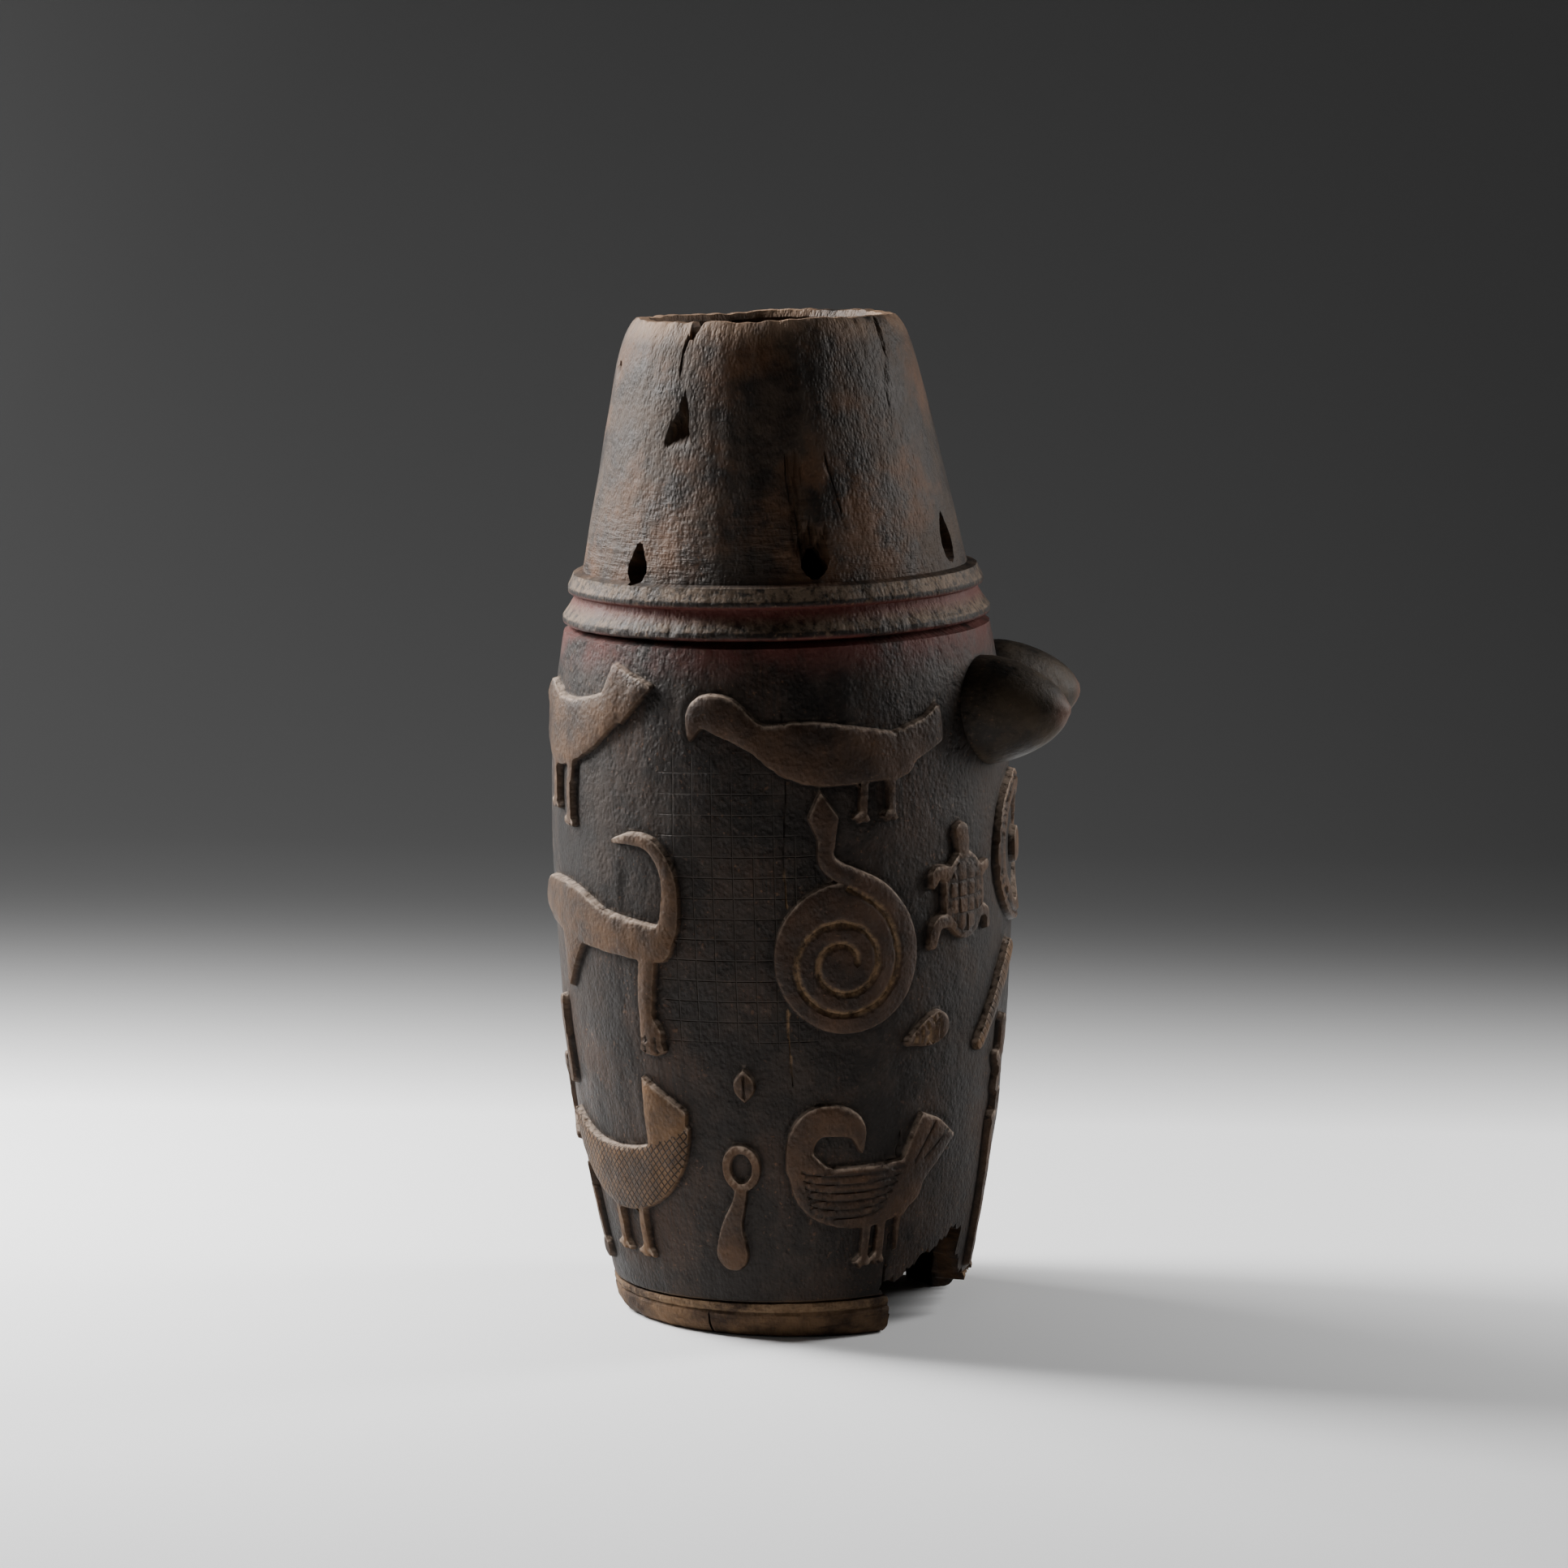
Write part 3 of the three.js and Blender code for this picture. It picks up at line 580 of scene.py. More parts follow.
def raise_figure(figure, angle, height, raised, stand, paint):
    """Stands one figure out of the belly with a rounded top, a steep edge, a shallow crevice round it and
    its lines cut in. Like the next two, it changes the arrays that it is given."""
    edge, relief, weave, cut, tone, scraped = (
        paint[name] for name in ("edge", "relief", "weave", "cut", "tone", "scraped")
    )
    half, depth = figure.get("groove", (1.5, 2.6))
    lines = figure.get("lines", ())
    x = around(angle, figure["angle"]) * BELLY_RADIUS
    near = (np.abs(x) < WIDEST_FIGURE) & raised & (height > 46) & (height < 785)
    shape = joined(*figure["shapes"])
    sx, sy = pull_to_edge(shape, x[near], height[near])
    sx, sy = pull_to_edge(shape, sx, sy, reach=2.0)
    within = shape(sx, sy) < -half - 1.0
    for cut_line in lines:
        lx, ly = pull_to_line(cut_line, sx, sy, half, 2.1, half + 4.0)
        deep = within & (cut_line(sx, sy) < half + 4.0)
        sx, sy = np.where(deep, lx, sx), np.where(deep, ly, sy)
    sy = np.clip(sy, BASE_RING_HEIGHT + 3, SHOULDER_HEIGHT - 2)
    angle[near] = math.radians(figure["angle"]) + sx / BELLY_RADIUS
    height[near] = sy

    far, _, outward_up = slope(shape, sx, sy)
    top = smooth(-far, -EDGE_GAP, EDGE_GAP)
    rounding = 3.0 * np.exp(np.minimum(far, 0) / 5.0)
    up = top * (RELIEF - rounding + 0.7 * wobble(sx, sy, 40, figure["angle"]))
    groove = np.zeros(far.shape)
    for cut_line in lines:
        groove = np.maximum(groove, 1 - np.clip(cut_line(sx, sy) / half, 0, 1))
    groove *= within
    crevice = -0.9 * np.exp(-((np.maximum(far, 0) - 2.5) / 3.0) ** 2) * (far > 0)
    raised_here = np.where(top > 0, up - depth * groove * top, crevice)
    below = np.where(relief[near] > 0, stand[near], stand[near] + raised_here)
    stand[near] = np.where(top > relief[near], raised_here, below)

    edge[near] = np.minimum(far, edge[near])
    relief[near] = np.maximum(relief[near], top)
    cut[near] = np.maximum(cut[near], groove)
    weave[near] = np.where(figure["shapes"][0](sx, sy) < -1, figure.get("weave", 0), weave[near])
    tone[near] = np.where(far < 1, figure["tone"], tone[near])
    # Upward-facing edges are painted pale: partly scraped wear and dust, partly a painted highlight where
    # light from above falls
    upper_edge = smooth(outward_up, 0.1, 0.8) * smooth(3.0 - np.abs(far), 0, 2)
    scraped[near] = np.maximum(scraped[near], upper_edge)


def sink_hollow(hollow, angle, height, raised, stand, paint):
    """Sinks one rotted place into the neck, with a ragged edge and fibres along its floor."""
    x = around(angle, hollow["angle"]) * BELLY_RADIUS
    near = (np.abs(x) < 90) & raised & (height > UPPER_RING_TOP + 2)
    outline = joined(*hollow["shapes"])

    def shape(px, py):
        return outline(px + 1.6 * np.sin(py / 5.1) + 1.1 * np.sin(py / 2.3 + px / 7), py)

    sx, sy = pull_to_edge(shape, x[near], height[near], 0.9)
    far = shape(sx, sy)
    deep = smooth(-far, -0.9, 5.0)
    angle[near] = math.radians(hollow["angle"]) + sx / BELLY_RADIUS
    height[near] = np.clip(sy, UPPER_RING_TOP + 3, RIM_HEIGHT - RIM_EDGE)
    fibres = 1.6 * np.sin(sx / 1.7 + np.sin(sy / 9)) * deep
    stand[near] -= deep * (hollow["depth"] - 1.5) + fibres
    bare = 0.75 * smooth(-far, -1.0, 3.0) * min(1.0, hollow["depth"] / 12)
    paint["fresh"][near] = np.maximum(paint["fresh"][near], bare)


def open_crack(crack, angle, height, raised, stand, paint):
    """Opens one narrow crack in the ground between the figures: a sharp groove along its path."""
    x = around(angle, crack["angle"]) * BELLY_RADIUS
    low, high = crack["path"][-1][1], crack["path"][0][1]
    near = (np.abs(x) < 40) & raised & (height > low - 10) & (height < high + 10)
    sx, sy = x[near], height[near]
    path = line(*crack["path"])
    free = (paint["relief"][near] < 0.05) & (paint["edge"][near] > 4)
    lx, ly = pull_to_line(path, sx, sy, crack["half"], 2.0, 6.0)
    ly = np.clip(ly, BASE_RING_HEIGHT + 3, RIM_HEIGHT - RIM_EDGE)
    sx, sy = np.where(free, lx, sx), np.where(free, ly, sy)
    deep = (1 - np.clip(path(sx, sy) / crack["half"], 0, 1)) * free
    angle[near] = math.radians(crack["angle"]) + sx / BELLY_RADIUS
    height[near] = sy
    stand[near] -= crack["depth"] * deep
    paint["cut"][near] = np.maximum(paint["cut"][near], deep)


def carve(angle, height, raised):
    """Works the figures, hollows and cracks into the outer surface: moves its points along it, and returns
    how far each point stands out and what the paint needs to know."""
    stand = np.zeros(angle.shape)
    paint = dict(edge=np.full(angle.shape, FAR_FROM_EDGE))
    for name in ("relief", "weave", "cut", "tone", "scraped", "fresh"):
        paint[name] = np.zeros(angle.shape)
    for work, places in ((raise_figure, FIGURES), (sink_hollow, HOLLOWS), (open_crack, CRACKS)):
        for place in places:
            work(place, angle, height, raised, stand, paint)
    return stand, paint


def raise_breasts(angle, height, place, breast, tip, cut):
    """Draws the surface out into two long rounded cones. Distance from a breast's middle is spent along
    its outline: down the cone, where radius = widest x (1 - share ^ 1.6) ^ 0.6, then onto the belly."""
    share = np.linspace(1, 0, 60)
    cone_r = BREAST_RADIUS * (1 - share ** 1.6) ** 0.6
    blunt = cone_r >= NIPPLE_RADIUS
    cone_r = np.concatenate([[0.0, NIPPLE_RADIUS], cone_r[blunt]])
    cone_h = np.concatenate([[BREAST_LENGTH, BREAST_LENGTH], share[blunt] * BREAST_LENGTH])
    length = np.concatenate([[0.0], np.cumsum(np.hypot(np.diff(cone_r), np.diff(cone_h)))])
    root = float(body_radius(BREAST_HEIGHT))
    skirt = 6.0
    foot = length[-1] + skirt
    total = foot + BREAST_REACH - BREAST_RADIUS
    for degrees in BREAST_ANGLES:
        side = around(angle, degrees) * root
        up = height - BREAST_HEIGHT
        spread = np.hypot(side, up)
        near = spread < BREAST_REACH
        cosine = np.divide(side, np.maximum(spread, 1e-6))[near]
        sine = np.divide(up, np.maximum(spread, 1e-6))[near]
        crease = BREAST_REACH * foot / total
        beyond = spread[near] - crease
        size = np.abs(beyond)
        spaced = 1.0 + (CREASE_PULL - 1.0) * (size - CREASE_CATCH) / (CREASE_PULL - CREASE_CATCH)
        spaced = np.where(size < CREASE_CATCH, 0.0, np.where(size < CREASE_PULL, spaced, size))
        spent = (crease + np.sign(beyond) * spaced) / BREAST_REACH * total
        # The crease round the root is marked among the cuts, which paints it as a dark line: painted shade
        # in the crease
        cut[near] = np.maximum(cut[near], size < CREASE_CATCH)
        radius = np.where(
            spent < length[-1], np.interp(spent, length, cone_r),
            BREAST_RADIUS + np.clip(spent - foot, 0, None),
        )
        out = np.where(spent < length[-1], np.interp(spent, length, cone_h), 0.0)
        across, rise = radius * cosine, radius * sine
        belly = np.sqrt(body_radius(BREAST_HEIGHT + rise) ** 2 - across ** 2) - root
        down = np.clip((spent - length[-1]) / skirt, 0, 1)
        out = np.where(spent < length[-1], out, belly * down)
        bump = 0.8 * wobble(across, rise, 30, degrees) * smooth(out, 0, 20)
        turn = math.radians(degrees)
        forward, sideways = root + out + bump, across
        place[near, 0] = forward * math.cos(turn) - sideways * math.sin(turn)
        place[near, 1] = forward * math.sin(turn) + sideways * math.cos(turn)
        place[near, 2] = BREAST_HEIGHT + rise
        breast[near] = smooth(foot - spent, -1.5, 1.5)
        tip[near] = smooth(out, BREAST_LENGTH - 14, BREAST_LENGTH - 2)
    return place, breast, tip, cut


def column_angles():
    """Angles of the columns: closer together on the side that the photograph shows, with smooth change."""
    share = np.linspace(0, 1, COLUMNS, endpoint=False)
    middle = math.radians(-84)
    swing = (2 * SEEN_SHARE - 1) * math.pi / 2
    angle = 2 * math.pi * (share - 0.5)
    return middle + angle - swing * np.sin(angle)


def rim_wear(angle, height):
    """How much lower the rim has worn: most at the back, in two waves round the mouth, with a lump and
    small chips."""
    reach = np.clip((height - RIM_HEIGHT + RIM_ROUNDING) / RIM_ROUNDING, 0, 1)
    wave = 0.5 + 0.3 * np.sin(3 * angle + 1) + 0.2 * np.sin(7 * angle)
    wave = wave + BACK_WEAR / RIM_WEAR * (1 + np.cos(angle - math.radians(MOST_WORN_ANGLE))) / 2
    chips = 0.8 * np.sin(23 * angle) * np.sin(9 * angle + 2) + 0.5 * np.sin(41 * angle + 1)
    lump = np.exp(-(around(angle, -104) / 0.1) ** 2)
    return RIM_WEAR * wave * reach + reach ** 4 * (0.9 * chips - 1.5 * lump + 0.6)


def drum_surface():
    """The whole body as one closed surface of columns and rows, and its paint values."""
    radius, level = section()
    rows = len(radius)
    inner_start = BASE_ROWS + BELLY_ROWS + RING_ROWS + NECK_ROWS
    angle = np.repeat(column_angles()[None, :], rows, axis=0)
    height = np.repeat(level[:, None], COLUMNS, axis=1)
    flat_radius = np.repeat(radius[:, None], COLUMNS, axis=1)
    row = np.repeat(np.arange(rows)[:, None], COLUMNS, axis=1)
    outside = row < inner_start
    belly = (row >= BASE_ROWS) & (row < BASE_ROWS + BELLY_ROWS)
    neck = (row >= BASE_ROWS + BELLY_ROWS + RING_ROWS) & outside
    stand, paint = carve(angle, height, belly | neck)
    flat_radius = np.where(belly, body_radius(height), flat_radius)
    flat_radius = np.where(neck, neck_radius(height), flat_radius)
    girth = angle * BELLY_RADIUS
    hand = 1.0 * wobble(girth, height, 120, 2.1) + 0.6 * wobble(girth, 0.4 * height, 42, 0.4)
    hand = hand + 0.25 * wobble(girth, height, 17, 1.3) * ~neck
    hand = hand * np.where(outside, 1, 1.6)
    base = row < BASE_ROWS
    on_rings = outside & ~belly & ~neck & ~base
    crest = (flat_radius - GROOVE_RADIUS) / (LOWER_RING_RADIUS - GROOVE_RADIUS) * on_rings
    nicks = np.maximum(wobble(girth, height, 26, 3.3) + wobble(girth, height, 55, 5.1) - 0.35, 0)
    stand = stand - crest * (0.5 * wobble(girth, 2 * height, 21, 0.7) + 3.0 * nicks)
    stand = stand + base * (1.1 * wobble(girth, 3 * height, 34, 4.2) - 1.2 * nicks)
    flat_radius = flat_radius + stand + hand * np.where(row < 2, 0.3, 1)
    breast, tip = np.zeros(angle.shape), np.zeros(angle.shape)
    worn = height - rim_wear(angle, height)
    place = np.stack([flat_radius * np.cos(angle), flat_radius * np.sin(angle), worn], axis=-1)
    level_with = belly & (np.abs(height - BREAST_HEIGHT) < BREAST_REACH)
    drawn = raise_breasts(*(part[level_with] for part in (angle, height, place, breast, tip, paint["cut"])))
    place[level_with], breast[level_with], tip[level_with], paint["cut"][level_with] = drawn
    neck_share = np.clip((height - UPPER_RING_TOP) / (RIM_HEIGHT - RIM_ROUNDING - UPPER_RING_TOP), 0, 1)
    place[..., 0] -= NECK_SHIFT * neck_share
    # The foot is cut level though the drum leans, so the base ring's rows close up to the floor.
    floor = -place[..., 0] * math.tan(LEAN)
    low = np.clip(place[..., 2] / BASE_RING_HEIGHT, 0, 1)
    in_base = base | (row >= rows - 2)
    place[..., 2] = np.where(in_base, floor + (BASE_RING_HEIGHT - floor) * low, place[..., 2])
    uv = np.stack([np.mod(angle + 2 * math.pi, 2 * math.pi) * BELLY_RADIUS * MM, height * MM], axis=-1)
    inside = np.where(outside, 0.0, smooth(RIM_HEIGHT - height, 0, 30))
    inside = np.where(row >= rows - 1, 0.6, inside)
    paint.update(breast=breast, tip=tip, inside=inside, uv=uv, stand=stand)
    return place, paint


def stand_up(points):
    """Leans the upright drum towards its back and sets its axis on its place on the floor, in metres."""
    x, y, z = points[..., 0], points[..., 1], points[..., 2]
    leaned = np.stack([
        x * math.cos(LEAN) - z * math.sin(LEAN), y, x * math.sin(LEAN) + z * math.cos(LEAN),
    ], axis=-1) * MM
    return leaned + np.array([AXIS_FOOT[0], AXIS_FOOT[1], 0.0])


def grid_faces(rows, columns, close_rows):
    """Quads of a grid whose columns run round, and whose last row meets the first if close_rows."""
    here = np.arange(rows * columns).reshape(rows, columns)
    right = np.roll(here, -1, axis=1)
    above, above_right = np.roll(here, -1, axis=0), np.roll(right, -1, axis=0)
    quads = np.stack([here, right, above_right, above], axis=-1)
    if not close_rows:
        quads = quads[:-1]
    return quads.reshape(-1, 4)


def split_quads(quads, level, cut):
    """Two triangles for every quad, cut between the two opposite corners that stand most nearly level, or
    along a groove where both of them lie in it, so that carved edges and cut lines stay clean."""
    flat, deep = level.ravel()[quads], cut.ravel()[quads]
    one_way = np.abs(flat[:, 0] - flat[:, 2]) - ALONG_GROOVE * np.minimum(deep[:, 0], deep[:, 2])
    other_way = np.abs(flat[:, 1] - flat[:, 3]) - ALONG_GROOVE * np.minimum(deep[:, 1], deep[:, 3])
    first = one_way <= other_way
    one = np.where(first[:, None], quads[:, [0, 1, 2]], quads[:, [0, 1, 3]])
    two = np.where(first[:, None], quads[:, [0, 2, 3]], quads[:, [1, 2, 3]])
    return np.concatenate([one, two])


def make_mesh(name, points, faces, paint=None):
    """A mesh object from whole arrays, smooth shaded, with its paint values as attributes."""
    mesh = bpy.data.meshes.new(name)
    faces = faces if isinstance(faces, list) else faces.tolist()
    mesh.from_pydata(points.reshape(-1, 3).tolist(), [], faces)
    for key, values in (paint or {}).items():
        if key == "uv":
            continue
        layer = mesh.attributes.new(key, "FLOAT", "POINT")
        layer.data.foreach_set("value", np.ascontiguousarray(values, np.float32).ravel())
    if paint and "uv" in paint:
        corner = np.zeros(len(mesh.loops), np.int32)
        mesh.loops.foreach_get("vertex_index", corner)
        layer = mesh.uv_layers.new(name="girth")
        uv = paint["uv"].reshape(-1, 2)[corner]
        starts = np.zeros(len(mesh.polygons), np.int32)
        counts = np.zeros(len(mesh.polygons), np.int32)
        mesh.polygons.foreach_get("loop_start", starts)
        mesh.polygons.foreach_get("loop_total", counts)
        first = np.repeat(uv[starts, 0], counts)
        whole_girth = 2 * math.pi * BELLY_RADIUS * MM
        uv[:, 0] += whole_girth * np.round((first - uv[:, 0]) / whole_girth)
        layer.data.foreach_set("uv", uv.astype(np.float32).ravel())
    mesh.validate()
    mesh.update()
    piece = bpy.data.objects.new(name, mesh)
    bpy.context.scene.collection.objects.link(piece)
    mesh.shade_smooth()
    return piece


def make_plug(name, points, uv):
    """A closed plug from rings of points, with a face over each end. It leaves bare broken wood where it
    cuts, so its paint values are those of a fresh break."""
    steps, count = points.shape[:2]
    faces = grid_faces(steps, count, False).tolist()
    faces.append(list(range(count))[::-1])
    faces.append(list(range((steps - 1) * count, steps * count)))
    zero = np.zeros(steps * count)
    names = ("relief", "weave", "cut", "tone", "scraped", "breast", "tip", "inside")
    paint = dict.fromkeys(names, zero) | dict(edge=zero + FAR_FROM_EDGE, fresh=zero + 1, uv=uv)
    return make_mesh(name, stand_up(points), faces, paint)


def ragged_plug(name, corners, rough, steps=14, spacing=4.0):
    """A closed plug through the wall: an outline of (angle, height) corners, divided evenly and roughened
    along the grain, carried from inside the hollow to outside the belly."""
    corners = np.array(corners, float)
    closed = np.vstack([corners, corners[:1]])
    flat = np.stack([np.radians(closed[:, 0]) * BELLY_RADIUS, closed[:, 1]], axis=-1)
    length = np.concatenate([[0], np.cumsum(np.hypot(*np.diff(flat, axis=0).T))])
    count = int(length[-1] / spacing)
    spot = np.linspace(0, length[-1], count, endpoint=False)
    x, y = np.interp(spot, length, flat[:, 0]), np.interp(spot, length, flat[:, 1])
    depth = np.linspace(0, 1, steps)[:, None]
    ragged = np.sin(spot / 2.1 + 3 * depth) + 1.3 * np.sin(spot / 5.3 - 4 * depth + 1)
    ragged = ragged + 0.6 * np.sin(spot / 1.3 + 9 * depth)
    ragged = rough * (ragged + 0.8 * np.sin(spot / 11.7 + 5 * depth))
    above = y > 2
    px = x + 0.35 * ragged * above
    py = y + ragged * above + 0 * depth
    radius = 120 + 210 * depth
    angle = px / BELLY_RADIUS
    points = np.stack([radius * np.cos(angle), radius * np.sin(angle), py + 0 * radius], axis=-1)
    return make_plug(name, points, np.stack([px * MM, (py + radius) * MM], axis=-1))


def peg_plug(name, degrees, bottom, top, sides=40, steps=24):
    """A slanted, tapering plug with ragged sides for a peg hole: an oval that narrows towards its top."""
    turn = np.linspace(0, 2 * math.pi, sides, endpoint=False)[None, :]
    along = np.linspace(-1, 1, steps)[:, None] * 75
    taper = np.interp(along, [-75, 75], [0.92, 1.0])
    ragged = 1 + 0.03 * np.sin(5 * turn + degrees) + 0.03 * np.sin(13 * turn + 2 * degrees + along / 9)
    narrowing = 1 - 0.42 * smooth(np.sin(turn), -0.3, 0.9)
    wide = PEG_HOLE_WIDTH / 2 * taper * ragged * narrowing * np.cos(turn)
    cosine, sine = math.cos(PEG_HOLE_SLANT), math.sin(PEG_HOLE_SLANT)
    tall = (top - bottom) / 2 * cosine * taper * ragged * np.sin(turn)
    middle = (top + bottom) / 2
    start = float(neck_radius(middle))
    out = start + along * cosine - tall * sine
    up = middle + along * sine + tall * cosine
    angle = math.radians(degrees)
    points = np.stack([
        out * math.cos(angle) - wide * math.sin(angle), out * math.sin(angle) + wide * math.cos(angle), up,
    ], axis=-1)
    return make_plug(name, points, np.stack([wide * MM, up * MM], axis=-1))


# The base has lost its front right part, up into the foot of the wall; angles are from the front.
BREAK_IN_BASE = (
    (-54, -60), (28, -60), (26, 10), (18, 24), (8, 36), (-4, 43), (-12, 38), (-18, 48),
    (-23, 79), (-22, 103), (-29, 107), (-35, 90), (-43, 81), (-49, 61), (-56, 55), (-52, 31),
)
GAP_AT_BACK = ((44, -60), (53, -60), (52, 22), (47, 28))
NOTCH_IN_RING = ((-112.6, -60), (-111.2, -60), (-111.4, 26), (-112, 30))
CHIP_IN_RIM = (
    (-117.2, 1128), (-115.6, 1128), (-112.2, 1150), (-111.2, 1200), (-119.4, 1200), (-118.6, 1150),
)


def cut_through(piece, plugs):
    """Takes the plugs out of the piece and keeps the result as its mesh."""
    for plug in plugs:
        cut = piece.modifiers.new(plug.name, "BOOLEAN")
        cut.operation = "DIFFERENCE"
        cut.solver = "MANIFOLD"
        cut.object = plug
    graph = bpy.context.evaluated_depsgraph_get()
    solved = piece.evaluated_get(graph)
    mesh = bpy.data.meshes.new_from_object(solved, preserve_all_data_layers=True, depsgraph=graph)
    piece.modifiers.clear()
    mesh.set_sharp_from_angle(angle=SHARP_ANGLE)
    piece.data = mesh
    for plug in plugs:
        bpy.data.objects.remove(plug)
    return piece


def make_drum():
    """The carved body, cut through for its peg holes and its breaks."""
    place, paint = drum_surface()
    level = paint.pop("stand")
    triangles = split_quads(grid_faces(place.shape[0], COLUMNS, True), level, paint["cut"])
    body = make_mesh("carved_drum", stand_up(place), triangles, paint)
    plugs = [peg_plug(f"peg_plug_{number}", *hole) for number, hole in enumerate(PEG_HOLES)]
    plugs.append(ragged_plug("break_plug", BREAK_IN_BASE, 2.2, spacing=3.0))
    plugs.append(ragged_plug("gap_plug", GAP_AT_BACK, 0.6))
    plugs.append(ragged_plug("notch_plug", NOTCH_IN_RING, 0.2, spacing=2.5))
    plugs.append(ragged_plug("chip_plug", CHIP_IN_RIM, 0.6, spacing=3.0))
    return cut_through(body, plugs)


# Paint: heights and girths in metres where a band starts, is full, is still full and ends
RINGS = (0.796, 0.8, 0.856, 0.862)
UPPER_SLOPE = (0.8425, 0.8445, 0.857, 0.861)
LOWER_SLOPE = (0.8090, 0.8110, 0.826, 0.830)
RED_GROOVE = (0.816, 0.828, 0.836, 0.840)
RED_BELOW_RINGS = (0.752, 0.792, 0.802, 0.806)
BASE_BEAD = (0.0285, 0.0320, 0.0400, 0.0440)
NECK_RIPPLES = (0.83, 0.87, 0.90, 0.98)
NET_HEIGHT = (0.34, 0.36, 0.665, 0.68)
NET_GIRTH = (1.125, 1.14, 1.30, 1.32)
SNAKE_HEIGHT = (0.30, 0.35, 0.53, 0.55)
SNAKE_GIRTH = (1.20, 1.24, 1.45, 1.47)

# Half the spacing of the scratched net and of the hatching, and the depth of fine marks, in metres
NET_HALF_CELL = 0.0117
HATCH_HALF_CELL = 0.0046
MARK_DEPTH = 0.0018


class Paint:
    """Short calls for the nodes of one material. Colours are three numbers, or a socket."""

    def __init__(self, material):
        self.tree = material.node_tree
        self.nodes = self.tree.nodes
        self.nodes.clear()

    def put(self, kind, inputs=None, **settings):
        node = self.nodes.new(kind)
        for key, value in settings.items():
            setattr(node, key, value)
        for key, value in (inputs or {}).items():
            if isinstance(value, bpy.types.NodeSocket):
                self.tree.links.new(value, node.inputs[key])
            else:
                node.inputs[key].default_value = value
        return node

    def number(self, operation, a, b=0.0):
        return self.put("ShaderNodeMath", {0: a, 1: b}, operation=operation).outputs[0]

    def chain(self, operation, values):
        total = values[0]
        for value in values[1:]:
            total = self.number(operation, total, value)
        return total

    def product(self, *values):
        return self.chain("MULTIPLY", values)

    def plus(self, *values):
        return self.chain("ADD", values)

    def most(self, *values):
        return self.chain("MAXIMUM", values)

    def rest(self, value):
        """What is left of 1."""
        return self.number("SUBTRACT", 1.0, value)

    def ramp(self, value, low, high, start=0.0, end=1.0):
        return self.put("ShaderNodeMapRange", {0: value, 1: low, 2: high, 3: start, 4: end}).outputs[0]

    def band(self, value, low, full, still, high):
        """1 between full and still, falling to 0 at low and high."""
        return self.product(self.ramp(value, low, full), self.ramp(value, high, still))

    def attribute(self, name):
        return self.put("ShaderNodeAttribute", attribute_name=name).outputs["Fac"]

    def scaled(self, vector, factors):
        return self.put("ShaderNodeMapping", {"Vector": vector, "Scale": factors}).outputs[0]

    def noise(self, vector, scale, detail=4.0, rough=0.55):
        inputs = {"Vector": vector, "Scale": scale, "Detail": detail, "Roughness": rough}
        return self.put("ShaderNodeTexNoise", inputs).outputs[0]

    def cells(self, vector, scale, feature="F1"):
        node = self.put("ShaderNodeTexVoronoi", {"Vector": vector, "Scale": scale}, feature=feature)
        return node.outputs["Distance"]

    def mix(self, factor, a, b):
        """From colour a to colour b by a factor."""
        a, b = (end if isinstance(end, bpy.types.NodeSocket) else (*end, 1.0) for end in (a, b))
        return self.put("ShaderNodeMix", {0: factor, 6: a, 7: b}, data_type="RGBA").outputs[2]

    def between(self, value, low, high, a, b):
        """Colour a where the value is low, colour b where it is high."""
        return self.mix(self.ramp(value, low, high), a, b)

    def coat(self, under, over, *shares):
        """A colour laid over another by the product of its shares."""
        return self.mix(self.product(*shares), under, over)

    def finish(self, inputs):
        """The material's one shader, put out to its surface."""
        shader = self.put("ShaderNodeBsdfPrincipled", inputs)
        output = self.put("ShaderNodeOutputMaterial", {"Surface": shader.outputs[0]})
        output.is_active_output = True


